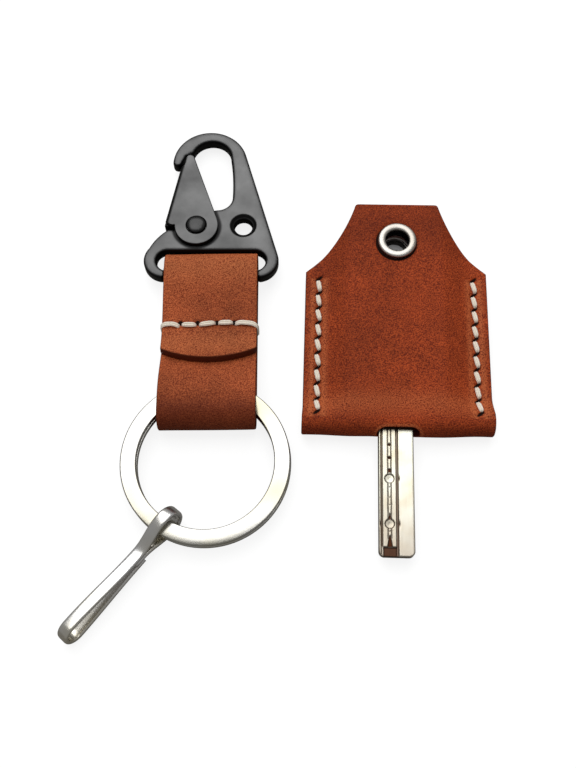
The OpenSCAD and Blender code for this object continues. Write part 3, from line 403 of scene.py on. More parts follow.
def leather(name, deep, light, worn, burnt, scale):
    """Smooth waxed leather: a fleck of grain in a clouded colour, fine pores and creases,
    paler where it is pulled over a bend or a seam, darkest on its burnished edges, with
    painted highlights, painted shade round its folds, and dark marks that are slits, a
    scratch and a painted shadow."""
    made, tree = new_material(name)
    at = add(tree, "TexCoord")
    # Grain of the hide, about a quarter of a millimetre, with hair pores of 0.4 mm
    grain = add(tree, "TexNoise", {
        "Vector": (at, "Object"), "Scale": 4.2 / MM * scale, "Detail": 2.0, "Roughness": 0.6})
    pores = add(tree, "TexVoronoi", {"Vector": (at, "Object"), "Scale": 2.6 / MM * scale})
    fleck = add(tree, "ValToRGB", {0: (grain, "Fac")}, stops=((0.38, deep), (0.62, light)))
    # Clouding of the dye, about 12 mm across and down to less than a millimetre
    cloud = add(tree, "TexNoise", {
        "Vector": (at, "Object"), "Scale": 0.08 / MM, "Detail": 5.0, "Roughness": 0.74})
    depth = add(tree, "MapRange", {
        "Value": (cloud, "Fac"), "From Min": 0.3, "From Max": 0.7, "To Min": 0.72, "To Max": 1.28})
    dyed = add(tree, "HueSaturation", {"Color": (fleck, 0), "Value": (depth, 0)})
    # Painted shade: the tag darkens the dye towards a deep brown round the folds
    handled = add(tree, "Attribute", attribute_name="handled")
    waxed = add(tree, "Math", {0: (handled, "Fac"), 1: 0.6}, operation="MULTIPLY")
    dyed = add(tree, "Mix", {0: (waxed, 0), 6: (dyed, 0), 7: linear("#4A1205")}, data_type="RGBA")
    # The paler colour is partly pulled leather and partly painted highlight
    pull = add(tree, "Attribute", attribute_name="pull")
    patchy = add(tree, "MapRange", {"Value": (grain, "Fac"), "From Min": 0.36, "From Max": 0.62})
    share = add(tree, "Math", {0: (pull, "Fac"), 1: (patchy, 0)}, operation="MULTIPLY")
    paled = add(tree, "Mix", {0: (share, 0), 6: (dyed, 2), 7: linear(worn)}, data_type="RGBA")
    rim = add(tree, "Attribute", attribute_name="rim")
    close = add(tree, "MapRange", {"Value": (rim, "Fac"), "From Min": 0.2, "From Max": 0.0})
    burnished = add(tree, "Mix", {0: (close, 0), 6: (paled, 2), 7: linear(burnt)}, data_type="RGBA")
    # Dark marks: slits and a scratch, and a painted shadow round the eyelet's rim
    slit = add(tree, "Attribute", attribute_name="slit")
    cut = add(tree, "MapRange", {"Value": (slit, "Fac"), "From Min": 0.15, "From Max": 0.5})
    dark = add(tree, "Mix", {0: (cut, 0), 6: (burnished, 2), 7: linear("#1C0703")}, data_type="RGBA")
    relief = add(tree, "Math", {0: (grain, "Fac"), 1: (pores, "Distance")}, operation="ADD")
    raised = add(tree, "Bump", {"Height": (relief, 0), "Strength": 0.75, "Distance": 0.1 * MM})
    gloss = add(tree, "MapRange", {"Value": (close, 0), "To Min": 0.62, "To Max": 0.45})
    surface = add(tree, "BsdfPrincipled", {
        "Base Color": (dark, 2), "Roughness": (gloss, 0), "Normal": (raised, 0), "Specular IOR Level": 0.11})
    add(tree, "OutputMaterial", {"Surface": (surface, 0)})
    return made


# Vegetable-tanned cowhide, dyed chestnut and waxed: a satin face with a fine, even grain.
cover_hide = leather(
    "waxed_chestnut_cowhide", deep="#641E0D", light="#B24C22", worn="#C0653A", burnt="#451408", scale=1.0)
fit(cover, cover_hide, "cover", "cover_leather")

# Side seams

# Saddle stitch in thick waxed linen thread: flat strands laid side by side that dive into
# slanted slits, on the front and again in a groove on the back.


def sweep(centres, across, up, outline):
    """Carries a closed outline (k points, across and up) along m open paths of n centres:
    each point is centre + across * a + up * b. A fan round its middle closes each end."""
    m, n, k = centres.shape[0], centres.shape[1], outline.shape[-2]
    shape = np.broadcast_to(outline, (m, n, k, 2))
    pts = centres[:, :, None] + across[:, :, None] * shape[..., :1] + up[:, :, None] * shape[..., 1:]
    ids = np.arange(m * n * k).reshape(m, n, k)
    nxt = np.roll(ids, -1, 2)
    quads = np.stack([ids[:, :-1], nxt[:, :-1], nxt[:, 1:], ids[:, 1:]], -1).reshape(-1, 4)
    first = m * n * k + np.arange(m)[:, None] + 0 * ids[:, 0]
    last = first + m
    fans = np.concatenate([
        np.stack([first, nxt[:, 0], ids[:, 0]], -1).reshape(-1, 3),
        np.stack([last, ids[:, -1], nxt[:, -1]], -1).reshape(-1, 3)])
    return np.concatenate([pts.reshape(-1, 3), pts[:, 0].mean(1), pts[:, -1].mean(1)]), quads, fans


def path_frames(centres, side):
    """Unit vectors across and up for paths: across is the side direction less its part along
    the path, and up is square to both."""
    ahead = np.gradient(centres, axis=1)
    ahead /= np.linalg.norm(ahead, axis=-1, keepdims=True)
    across = side - (side * ahead).sum(-1, keepdims=True) * ahead
    across /= np.linalg.norm(across, axis=-1, keepdims=True)
    return across, np.cross(across, ahead)


round_thread = np.linspace(0, 2 * np.pi, 36, endpoint=False)


def thread(centres, across, up, t, half_w, half_h, taper):
    """Two flat strands side by side, swept along paths. Their outline is an ellipse with its
    height times 0.72 - 0.28 * cos(2 pi cos(a)), which has two ridges, and it shrinks by the
    taper. Two tags say how far along (t) and how far across (cos(a)) each point lies."""
    ridge = 0.72 - 0.28 * np.cos(2 * np.pi * np.cos(round_thread))
    ring = np.stack([half_w * np.cos(round_thread), half_h * np.sin(round_thread) * ridge], -1)
    points, quads, fans = sweep(centres, across, up, ring * taper[None, :, None, None])
    grid = centres.shape[:2] + round_thread.shape
    caps = np.zeros(len(centres))
    along = np.concatenate([np.broadcast_to(t[:, None], grid).ravel(), caps, caps + 1])
    around = np.concatenate([np.broadcast_to(np.cos(round_thread), grid).ravel(), caps, caps])
    return points, quads, fans, along, around


def stitches(starts, ends, faces_up, half_w, half_h, sink, narrow=0.8):
    """Threads from each start to each end that rise out of one slit and dive into the next:
    with q = |2t - 1|, the height goes by 1 - q^5 and the width by 1 - q^3."""
    t = np.linspace(0, 1, 23)
    q = np.abs(2 * t - 1)
    lift = (1 - q ** 5)[None, :, None]
    share = (0.5 - np.cos(np.pi * (0.08 + 0.84 * t)) / 2)[None, :, None]
    run = starts[:, None] + (ends - starts)[:, None] * share
    centres = run + faces_up[:, None] * (lift * (half_h + sink) - sink)
    side = np.cross(ends - starts, faces_up)[:, None] + 0 * run
    across, up = path_frames(centres, side)
    return thread(centres, -across, up, t, half_w, half_h, narrow + (1 - narrow) * (1 - q ** 3))


def join(parts):
    """Puts several threads together, with each one's faces counted on from the last."""
    offset, out = 0, [[], [], [], [], []]
    for points, quads, fans, along, around in parts:
        for store, item in zip(out, (points, quads + offset, fans + offset, along, around)):
            store.append(item)
        offset += len(points)
    return [np.concatenate(store) for store in out]


# Linen thread drawn through beeswax: off-white, faintly shiny, with fibres along its length.
linen, tree = new_material("waxed_linen_thread")
along = add(tree, "Attribute", attribute_name="along")
around = add(tree, "Attribute", attribute_name="around")
spread = add(tree, "CombineXYZ", {0: (around, "Fac"), 1: (along, "Fac")})
# Fibres about 0.02 mm wide and 0.3 mm long, on the thread's own width and length
stretch = add(tree, "Mapping", {"Vector": (spread, 0), "Scale": (9.0, 1.2, 1.0)})
fibre = add(tree, "TexNoise", {"Vector": (stretch, 0), "Scale": 3.0, "Detail": 3.0})
tone = add(tree, "ValToRGB", {0: (fibre, "Fac")}, stops=((0.36, "#F8E8CC"), (0.6, "#FFFAEE")))
# Painted shade in the groove between the strands
off = add(tree, "Math", {0: (around, "Fac")}, operation="ABSOLUTE")
groove = add(tree, "MapRange", {"Value": (off, 0), "From Max": 0.2, "To Min": 0.5, "To Max": 0.0})
shaded = add(tree, "Mix", {0: (groove, 0), 6: (tone, 0), 7: linear("#8E6A42")}, data_type="RGBA")
raised = add(tree, "Bump", {"Height": (fibre, "Fac"), "Strength": 0.5, "Distance": 0.06 * MM})
surface = add(tree, "BsdfPrincipled", {
    "Base Color": (shaded, 2), "Roughness": 0.62, "Normal": (raised, 0), "Sheen Weight": 0.8})
add(tree, "OutputMaterial", {"Surface": (surface, 0)})

# Each front stitch slants from one slit to the next and strays a little from the line
slant_from, slant_to, stray, slit_in, press_in = -0.30, 0.24, 0.07, 0.58, 0.16
back_slant, back_in, back_z = 0.2, 0.35, 0.72
flat_z, above = 0 * hole_y[1:], np.tile([0.0, 0.0, 1.0], (stitch_count, 1))
for side, name in ((-1, "left"), (1, "right")):
    sx = side * seam_x
    draws = np.random.default_rng(11 + side).uniform(-1, 1, (stitch_count, 4))
    starts = np.stack([sx + slant_from + stray * draws[:, 0], hole_y[:-1] - slit_in, flat_z], 1)
    ends = np.stack([sx + slant_to + stray * draws[:, 1], hole_y[1:] + slit_in, flat_z], 1)
    for p in (starts, ends):
        p[:, 2] = front_height(p[:, 0], p[:, 1]) - press_in
        p[:, 1] += skew * sx
    front = stitches(starts, ends, above, half_w=0.52, half_h=0.38, sink=0.5, narrow=0.6)
    starts = np.stack([flat_z + sx + back_slant, hole_y[:-1] - back_in, flat_z + back_z], 1)
    ends = np.stack([flat_z + sx - back_slant, hole_y[1:] + back_in, flat_z + back_z], 1)
    back = stitches(starts, ends, -above, half_w=0.45, half_h=0.3, sink=0.3)
    points, quads, fans, along, around = join([front, back])
    seam = skin(name + "_seam_stitches", points, [quads, fans], {"along": along * 3, "around": around})
    fit(seam, linen, "cover", name + "_seam_thread")

# Eyelets

# Two-part brass eyelets, nickel plated: the front one has a domed rim, the back one a flat
# rim let into the leather. Each barrel is rolled over a washer inside the pouch.


def turned_ring(profile, count=120):
    """Turns a closed profile of (radius, height) points round the Z axis: x and y are the
    radius times the cosine and the sine of the angle turned."""
    k = len(profile)
    a = 2 * np.pi * np.arange(count) / count
    points = np.stack([
        np.outer(np.cos(a), profile[:, 0]), np.outer(np.sin(a), profile[:, 0]),
        np.broadcast_to(profile[:, 1], (count, k))], -1).reshape(-1, 3)
    ids = np.arange(count * k).reshape(count, k)
    far = np.roll(ids, -1, 0)
    return points, np.stack([ids, far, np.roll(far, -1, 1), np.roll(ids, -1, 1)], -1).reshape(-1, 4)


bore_r, rim_r, rim_h, barrel_r = 2.6, 4.2, 0.9, 2.95
curl_r, curl_t, front_curl, back_curl, flat_rim_t = 3.3, 0.1, 4.35, 2.05, 0.6


def barrel_shade(p):
    """Painted shade inside the barrel: 1 from just under the rim down, 0 outside."""
    inside = ease((barrel_r - np.hypot(p[:, 0], p[:, 1])) / 0.2)
    return inside * ease((cover_t + 0.35 - p[:, 2]) / 0.4) * (p[:, 2] > 0.15)


def plated(name, colour, warm, rough, worn):
    """Bright metal plate: a mirror clouded warmer in places, with slightly uneven gloss. A tag of
    painted shade turns it near black, inside the eyelets' barrels."""
    made, tree = new_material(name)
    at = add(tree, "TexCoord")
    smear = add(tree, "TexNoise", {"Vector": (at, "Object"), "Scale": 0.42 / MM, "Detail": 4.0})
    gloss = add(tree, "MapRange", {"Value": (smear, "Fac"), "To Min": rough, "To Max": rough + worn})
    fine = add(tree, "TexNoise", {"Vector": (at, "Object"), "Scale": 2.6 / MM, "Detail": 2.0})
    raised = add(tree, "Bump", {"Height": (fine, "Fac"), "Strength": 0.1, "Distance": 0.03 * MM})
    # Painted shade inside the eyelets' barrels, near black
    soot = add(tree, "Attribute", attribute_name="soot")
    cloud = add(tree, "TexNoise", {"Vector": (at, "Object"), "Scale": 0.075 / MM, "Detail": 2.0})
    tint = add(tree, "ValToRGB", {0: (cloud, "Fac")}, stops=((0.45, colour), (0.62, warm)))
    toned = add(tree, "Mix", {0: (soot, "Fac"), 6: (tint, 0), 7: linear("#1D1A18")}, data_type="RGBA")
    surface = add(tree, "BsdfPrincipled", {
        "Base Color": (toned, 2), "Metallic": 1.0, "Roughness": (gloss, 0), "Normal": (raised, 0)})
    add(tree, "OutputMaterial", {"Surface": (surface, 0)})
    return made


# Nickel plate on brass: a warm grey mirror, dulled a little by handling.
nickel = plated("nickel_plated_brass", colour="#CECAC3", warm="#B4ACA0", rough=0.32, worn=0.12)
# The rim is domed by a power of the sine, and the barrel shows fine steps from its drawing
t = np.linspace(0, np.pi, 25)
rim_mid, rim_half = (bore_r + rim_r) / 2, (rim_r - bore_r) / 2
dome = np.stack([rim_mid + rim_half * np.cos(t), cover_t + rim_h * np.sin(t) ** 0.36], 1)
down = np.linspace(cover_t - 0.05, front_curl + 0.02, 26)
inside = np.stack([bore_r + 0.07 * (np.sin(down * 9.5) > 0.2), down], 1)
under_rim = cover_t - 0.02
tail = np.array([
    [bore_r + 0.02, front_curl], [curl_r, front_curl], [curl_r, front_curl + curl_t],
    [barrel_r, front_curl + curl_t], [barrel_r, under_rim], [rim_r - 0.2, under_rim]])
points, quads = turned_ring(np.concatenate([dome, inside, tail]))
eyelet = skin("eyelet_front_rim", points, [quads], {"soot": barrel_shade(points)})
fit(eyelet, nickel, "cover", "front_eyelet")
flat_rim = np.array([
    [bore_r, 0.12], [bore_r + 0.12, 0], [rim_r - 0.1, 0], [rim_r, 0.1], [rim_r, flat_rim_t],
    [barrel_r, flat_rim_t], [barrel_r, back_curl], [curl_r, back_curl], [curl_r, back_curl + curl_t],
    [bore_r + 0.02, back_curl + curl_t], [bore_r, back_curl + curl_t / 2]])
points, quads = turned_ring(flat_rim)
back_eyelet = skin("eyelet_back_rim", points, [quads], {"soot": barrel_shade(points)})
fit(back_eyelet, nickel, "cover", "back_eyelet")
# The washers stay the CAD pieces
for node in ("front_eyelet_washer", "back_eyelet_washer"):
    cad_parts[node].data.materials.clear()
    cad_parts[node].data.materials.append(nickel)

# Key

# A flat nickel-silver key with milled grooves, a channel that runs down between two
# countersunk dimples, and a square head that sits in the pouch.
key_x, key_mid, key_t, key_round = -0.5, 3.25, 2.0, 0.22
blade_half, blade_tip, blade_corner_r = 3.6, -68.9, 1.15
head_low, head_l, head_half, head_corner_r, head_cut_r = -41.28, 24.0, 11.0, 0.5, 13.4
key_hole_r, key_hole_drop = 3.0, 5.3
track_x, track_half, track_end = key_x - 1.4, 0.33, 1.9
# Two long grooves beside the channel: offset from the blade's middle, and half width
left_groove, right_groove, groove_side, groove_cut = (-3.0, 0.24), (0.14, 0.3), 0.14, 0.45
dimple_y, dimple_r, dimple_cut = (-62.4, -53.15), 1.02, 0.34
# The channel's cross marks, and its cuts: height, length and half width of each
cross_marks = (-45.9, -48.8, -55.0, -57.1, -58.6, -64.0)
channel_cuts = (
    (-46.0, 0.5, 0.27), (-48.8, 0.5, 0.3), (-51.5, 0.75, 0.3), (-60.9, 1.2, 0.3), (-65.9, 2.3, 0.52))


def key_depth(x, y):
    """Distance in from the key's edge: the larger of the blade's and the head's, both boxes,
    with the head's corners cut off by a circle and a round hole near its far end."""
    px = x - key_x
    blade = box_depth(px, y, blade_half, blade_tip, head_low + 5, blade_corner_r)
    head = box_depth(px, y, head_half, head_low, head_low + head_l, head_corner_r)
    head = np.minimum(head, head_cut_r - np.hypot(px, y - head_low - head_l / 2))
    hole = np.hypot(px, y - (head_low + head_l - key_hole_drop)) - key_hole_r
    return np.minimum(np.maximum(blade, head), hole)


def key_milling(x, y):
    """Depth of the cuts in a blade face, and how dark each point is: oxide in the cuts, and a
    painted shadow at the pouch's mouth. Each cut is a step that eases from 0 to 1 over its
    side wall, and thin lines and rings are bell shapes."""
    px, tx = x - key_x, x - track_x
    on_blade = ease((head_low - y) / 0.3)
    left, right = (ease((half - np.abs(px - mid)) / groove_side) for mid, half in (left_groove, right_groove))
    block_top = blade_tip + track_end
    block = ease((px + 2.8) / 0.12) * ease((0.1 - px) / 0.12) * ease((block_top - y) / 0.14)
    left = left * (1 - ease((block_top + 0.2 - y) / 0.2) * 0.6)
    cut, dark = groove_cut * np.maximum(left, right), 0.85 * np.maximum(left, right)
    # Channel: two thin lines with short cross marks between the dimples
    lines = bump(np.abs(tx) - track_half - 0.015 * np.sin(y * 1.9), 0, 0.09, 1) * (y > block_top + 1.6)
    wedge = np.zeros_like(x)
    for cy in cross_marks:
        lines = np.maximum(lines, 0.8 * bump(tx, y - cy, 0.3, 0.09))
    for cy, tall, wide in channel_cuts:
        run = np.clip((cy + tall / 2 - y) / tall, 0, 1)
        inside = ease((tall / 2 - np.abs(y - cy)) / 0.12 + 0.5)
        half = wide * (0.25 + 0.75 * run if tall > 1 else 1)
        wedge = np.maximum(wedge, inside * ease((half - np.abs(tx)) / 0.12 + 0.5))
    cut += 0.14 * lines + 0.25 * wedge + groove_cut * block
    dark = np.maximum.reduce([dark, lines * 0.8, wedge, block * 0.97])
    for dy in dimple_y:
        r = np.hypot(tx, y - dy)
        disc = ease((dimple_r - r) / 0.1)
        cut = cut * (1 - disc) + disc * (dimple_cut - 0.1 * np.minimum(r, 0.78))
        ring = np.maximum(0.9 * bump(r - 0.9, 0, 0.14, 1), 0.35 * bump(r - 0.28, 0, 0.07, 1))
        dark = dark * (1 - disc) + disc * ring
        notch = np.maximum(bump(px - 0.5, y - dy, 0.18, 0.6), bump(px + 3.3, y - dy, 0.16, 0.5) * (dy < -60))
        cut, dark = cut + 0.15 * notch, np.maximum(dark, notch)
    # Painted shadow where the blade goes into the pouch's mouth, under the leather's lip
    dark = np.maximum(dark, 0.9 * ease((y + 43.0) / 0.5))
    # The strip with the channel is duller than the plain one
    dark = np.maximum(dark, 0.12 * ease((0.1 - px) / 0.2))
    return np.minimum(cut, 0.5) * on_blade, dark * on_blade


# Grid lines: close together over the channel and the grooves
blade_edge, head_edge, track_from, track_to, blade_end = 3.8, 11.2, -2.2, 1.3, -41.2
us = np.unique(np.round(key_x + np.concatenate([
    np.arange(-head_edge, -blade_edge, 0.55), np.arange(-blade_edge, track_from, 0.13),
    np.arange(track_from, track_to, 0.075), np.arange(track_to, blade_edge, 0.2),
    np.arange(blade_edge, head_edge + 0.1, 0.55)]), 4))
vs = np.concatenate([np.arange(blade_tip - 0.1, blade_end, 0.13), np.arange(blade_end, -16.9, 0.5)])
flat, fall, faces = cut_sheet(us, vs, key_depth, key_round, 3)
x, y = flat.T
cut, dark = key_milling(x, y)
under, under_dark = key_milling(2 * key_x - x, y)
points = np.concatenate([
    np.stack([x, y, key_mid + key_t / 2 - fall - cut * (fall < 0.01)], 1),
    np.stack([x, y, key_mid - key_t / 2 + fall + under * (fall < 0.01)], 1)])
key = skin("key_blade_and_head", points, [faces], {"dark": np.concatenate([dark, under_dark])})

# Nickel silver as cut: pale, slightly yellow, brushed along the blade, brown in the cuts. A painted shadow
# darkens it at the pouch's mouth.
key_metal, tree = new_material("milled_nickel_silver")
at = add(tree, "TexCoord")
# Brush lines 0.2 mm apart and 6 mm long, wider than real ones, which wouldn't show
brush = add(tree, "Mapping", {"Vector": (at, "Object"), "Scale": (5.2 / MM, 0.16 / MM, 5.2 / MM)})
lines = add(tree, "TexNoise", {"Vector": (brush, 0), "Scale": 1.0, "Detail": 3.0})
stain = add(tree, "TexNoise", {"Vector": (at, "Object"), "Scale": 0.26 / MM, "Detail": 4.0})
tint = add(tree, "ValToRGB", {0: (stain, "Fac")}, stops=((0.35, "#DED6BE"), (0.65, "#EBEBDC")))
# Handling stain towards the tip
place = add(tree, "SeparateXYZ", {0: (at, "Object")})
stained = add(tree, "MapRange", {
    "Value": (place, "Y"), "From Min": -52 * MM, "From Max": -69 * MM, "To Max": 0.75})
metal = add(tree, "Mix", {0: (stained, 0), 6: (tint, 0), 7: linear("#B2A598")}, data_type="RGBA")
# The dark tag holds oxide in the cuts and the painted shadow at the pouch's mouth
dark_tag = add(tree, "Attribute", attribute_name="dark")
oxide_and_shade = add(tree, "Mix", {0: (dark_tag, "Fac"), 6: (metal, 2), 7: linear("#442719")}, data_type="RGBA")
gloss = add(tree, "MapRange", {"Value": (lines, "Fac"), "To Min": 0.26, "To Max": 0.44})
raised = add(tree, "Bump", {"Height": (lines, "Fac"), "Strength": 0.15, "Distance": 0.03 * MM})
surface = add(tree, "BsdfPrincipled", {
    "Base Color": (oxide_and_shade, 2), "Metallic": 1.0, "Roughness": (gloss, 0), "Normal": (raised, 0)})
add(tree, "OutputMaterial", {"Surface": (surface, 0)})
fit(key, key_metal, "key", "key")

# Strap

# One strip of the same leather, 20 mm wide: a rounded tongue on top, a loop round the
# hook's bar, the flat underside, a fold round the ring and an inner end, in three layers.
fob_at, fob_turn = np.array([-40.3, -20.9, 0.0]), np.radians(1.7)
strap_half, loop_rise, fold_drop, fold_r = 10.2, 13.9, 18.9, 2.15
loop_r, layer = 1.8, leather_t + 0.1
tongue_l, tongue_sag, inner_end, strap_skew = 8.5, 2.7, 2.5, 0.012
half_t = leather_t / 2
loop_z, fold_z = leather_t + loop_r, leather_t + fold_r
middle_z, tongue_z = half_t + layer, half_t + 2 * layer
loop_top, fold_top = loop_z + loop_r + half_t, fold_z + fold_r + half_t


def spun(p, angle, a, b):
    """Points turned by an angle from axis a towards axis b: both coordinates mix by its
    cosine and sine."""
    out, c, s = np.array(p, float), np.cos(angle), np.sin(angle)
    out[:, a], out[:, b] = c * p[:, a] - s * p[:, b], s * p[:, a] + c * p[:, b]
    return out


def on_fob(p):
    """From the strap's own place, with its stitched row at y = 0, to the table: turned flat
    and moved."""
    return spun(p, fob_turn, 0, 1) + fob_at


def arc(centre, r, a0, a1, n):
    """n points of a circle from angle a0 to a1, in degrees."""
    a = np.radians(np.linspace(a0, a1, n))
    return np.stack([centre[0] + r * np.cos(a), centre[1] + r * np.sin(a)], 1)


def middle_at(y):
    """Height of the middle layer: it eases down from the fold's top to lie on the underside."""
    start, end = -0.85 * fold_drop, -0.08 * fold_drop
    return fold_top + (middle_z - fold_top) * ease((y - start) / (end - start))


def top_at(y):
    """Height of the top layer: up to the stitches one layer over the middle one, measured
    square to its slope, and past them it eases up to the loop's top."""
    slope = (middle_at(y + 0.05) - middle_at(y - 0.05)) / 0.1
    low = middle_at(y) + layer * np.sqrt(1 + slope ** 2)
    high = tongue_z + (loop_top - tongue_z) * ease(y / loop_rise)
    return np.where(y <= 0, low, high)


# The strip seen from the side: top layer, loop, underside, fold and inner layer, and how far
# along the strip each point lies
top_n, loop_n, fold_n, mid_n = 90, 40, 44, 90
y_top = np.linspace(-tongue_l, loop_rise, top_n)
y_mid = np.linspace(-fold_drop, inner_end, mid_n)
strap_path = np.concatenate([
    np.stack([y_top, top_at(y_top)], 1)[:-1],
    arc((loop_rise, loop_z), loop_r + half_t, 90, -90, loop_n),
    arc((-fold_drop, fold_z), fold_r + half_t, 270, 90, fold_n),
    np.stack([y_mid, middle_at(y_mid)], 1)[1:]])
run = np.concatenate([[0], np.cumsum(np.linalg.norm(np.diff(strap_path, axis=0), axis=1))])
top_end, loop_from, under_from = run[top_n - 2], run[top_n - 1], run[top_n + loop_n - 2]
inner_from, fold_to = run[-mid_n - 2], run[-mid_n]
row_v, under_v = np.interp(0, y_top, run[:top_n]), under_from + loop_rise


def on_strap(x, v, h):
    """Place of a point v along the strip and h above its middle, on the outer side: the
    path's point plus h times its normal, with the strip cut a little out of square."""
    ahead = np.gradient(strap_path, run, axis=0)
    ahead /= np.linalg.norm(ahead, axis=1, keepdims=True)
    y, z = (np.interp(v, run, strap_path[:, i]) for i in (0, 1))
    ay, az = (np.interp(v, run, ahead[:, i]) for i in (0, 1))
    return on_fob(np.stack([x, y - az * h + strap_skew * x, z + ay * h], 1))


tongue_r = (strap_half ** 2 / tongue_sag + tongue_sag) / 2


def strap_depth(x, v):
    """Distance in from the strap's nearest edge: its sides, its inner end, and the tongue's
    tip, an arc as deep as its sag."""
    side = strap_half - np.abs(x)
    tip = tongue_r - np.hypot(x, v - tongue_r)
    return np.minimum(np.minimum(side, run[-1] - v), np.where(v < tongue_r, tip, side))


strap_holes = np.array([-6.2, -2.5, 1.6, 5.3])
# Grid lines: close together on the top layer and at the underside's row
past_loop, grid_half = loop_from + 6, strap_half + 0.2
us = np.linspace(-grid_half, grid_half, 85)
vs = np.concatenate([
    np.arange(-0.2, past_loop, 0.26), np.arange(past_loop, inner_from, 0.9),
    np.arange(under_v - 1.5, under_v + 1.5, 0.17), np.linspace(inner_from, run[-1] + 0.2, 90)])
flat, fall, faces = cut_sheet(us, np.unique(vs), strap_depth, cut_round)
x, v = flat.T
# Dents round the holes, and the row's groove: shallow on top, deep on the underside
dent = sum(slit_dent * bump(x - hx, v - row_v + 0.02 * hx, 0.5, 0.6) for hx in strap_holes)
dent += 0.16 * bump(0, v - row_v, 1, 0.8) + 0.74 * bump(0, v - under_v, 1, 0.66)
slit = sum(bump(x - hx, v - row_v - 0.45, 0.5, 0.5) for hx in strap_holes)
wave = 0.04 * ripple(x, v, 15, 8) * ease(strap_depth(x, v) / 2)
points = np.concatenate([on_strap(x, v, half_t - fall - dent + wave), on_strap(x, v, fall - half_t + wave)])
# Painted shade all round the fold at the ring, which turns down away from the light
handled = 1.1 * ease((fold_to + 4.5 - v) / 6.0) * (v > fold_to - 9)
# Paler where it is pulled over the bar, and a painted highlight on the tongue, which tilts towards the light
pull = 0.55 * bump(v - top_end, 0, 4, 1) + 0.5 * bump(v - row_v + 5, 0, 4, 1)
strap = skin("strap_leather_strip", points, [faces], {
    "rim": np.tile(np.clip(strap_depth(x, v), 0, 4), 2), "pull": np.tile(pull, 2),
    "slit": np.concatenate([slit, 0 * slit]), "handled": np.tile(handled, 2)})
# Cut from a lighter part of the hide: more orange, with a slightly finer grain.
strap_hide = leather(
    "waxed_tan_cowhide", deep="#742C15", light="#C2653A", worn="#CA794A", burnt="#4E1D0E", scale=1.05)
fit(strap, strap_hide, "fob", "strap_leather")

# Strap stitching

# One row of the same linen thread through all three layers. The outer two stitches go
# round the strap's edges.
top_z, row_z, row_in = 3 * leather_t + 0.2, 3 * leather_t + 0.12, 0.35
above = np.tile([0.0, 0.0, 1.0], (3, 1))
starts = np.stack([strap_holes[:-1] + row_in, [-0.12, -0.12, 0.3], np.full(3, row_z)], 1)
ends = np.stack([strap_holes[1:] - row_in, [-0.16, 0.34, 0.42], np.full(3, row_z)], 1)
top_row = stitches(starts, ends, above, half_w=0.56, half_h=0.44, sink=0.5, narrow=0.4)
starts[:, 2] = ends[:, 2] = back_z
low_row = stitches(starts, ends, -above, half_w=0.5, half_h=0.32, sink=0.3)
# The route of each outer stitch: out of its hole, over the edge and back underneath
wraps = []
for side, hole in ((-1, strap_holes[0]), (1, strap_holes[-1])):
    edge = side * (strap_half + 0.06)
    inner = hole + side * 0.25
    bend = np.array([
        [inner, 0.3 * side, top_z - 0.7], [inner + side * 0.25, 0.3 * side, top_z + 0.1],
        [inner + side * 1.2, 0.2 + 0.2 * side, top_z + 0.42],
        [edge - side * 1.2, 0.1 + 0.1 * side, top_z + 0.36],
        [edge - side * 0.3, -0.1, top_z + 0.16], [edge + side * 0.02, -0.3, top_z - 0.7],
        [edge + side * 0.04, -0.3, top_z / 2], [edge + side * 0.02, -0.1, 1.1], [edge - side * 0.3, 0, 0.42],
        [edge - side * 1.4, 0, 0.4], [inner + side * 1.0, 0, 0.42], [inner, 0, 0.8]])
    even = np.concatenate([[0], np.cumsum(np.linalg.norm(np.diff(bend, axis=0), axis=1))])
    s = np.linspace(0, even[-1], 70)
    line = np.stack([np.interp(s, even, bend[:, i]) for i in range(3)], 1)
    for _ in range(6):
        line[1:-1] = (line[:-2] + 2 * line[1:-1] + line[2:]) / 4
    across, up = path_frames(line[None], np.tile([0.0, 1.0, 0.0], (1, len(line), 1)))
    t = np.linspace(0, 1, len(line))
    taper = np.minimum(1, 0.7 + 0.3 * ease(np.minimum(t, 1 - t) / 0.06))
    wraps.append(thread(line[None], across, up, 4 * t, half_w=0.52, half_h=0.36, taper=taper))
points, quads, fans, along, around = join([top_row, low_row] + wraps)
row = skin("strap_row_stitches", on_fob(points), [quads, fans], {"along": along * 2, "around": around})
fit(row, linen, "fob", "strap_thread")

# Snap hook frame

# Die-cast zinc with rounded edges and a satin black coat: a hook, an opening, a round
# hole, and a wide slot whose lower side is a round bar inside the leather loop.
clip_t, clip_tilt, clip_round = 3.2, np.radians(2.01247), 0.42
clip_at = np.array([-0.2, 13.1, 3.65])
clip_h, hook_r, corner_r, crook_t, side_t = 37.1, 8.6, 4.6, 2.8, 2.9
slot_half, slot_h, slot_low, slot_floor = 12.05, 5.1, 1.6, 0.3
bar_r, bar_half = 1.5, 10.35
rivet, tip, heel = np.array([-3.45, 11.05]), np.array([-5.5, 28.9]), np.array([-9.9, 11.8])
rivet_hole_r, boss_r = 1.4, 4.3
lanyard, lanyard_r, cone_d = np.array([7.0, 11.5]), 2.0, 0.98
gate_end_r, gate_tip_r = 4.9, 1.0
nose_r, nose_drop = 1.1, 8.35
opening_r, low_r, low_over_rivet, bow = 4.4, 3.4, 4.8, 0.5


def on_clip(p):
    """From the hook's own place, with its bar at the origin, to the table: tilted up at the
    bar, moved into the loop, and on with the fob."""
    return on_fob(spun(p, -clip_tilt, 1, 2) + clip_at)


def tangent(c0, r0, c1, r1):
    """Angle of the normal on the right of the line that touches two circles: the heading from
    one to the other plus the arc cosine of the radii's difference over the distance."""
    d = np.subtract(c1, c0)
    return np.degrees(np.arctan2(d[1], d[0]) + np.arccos((r0 - r1) / np.hypot(*d)))


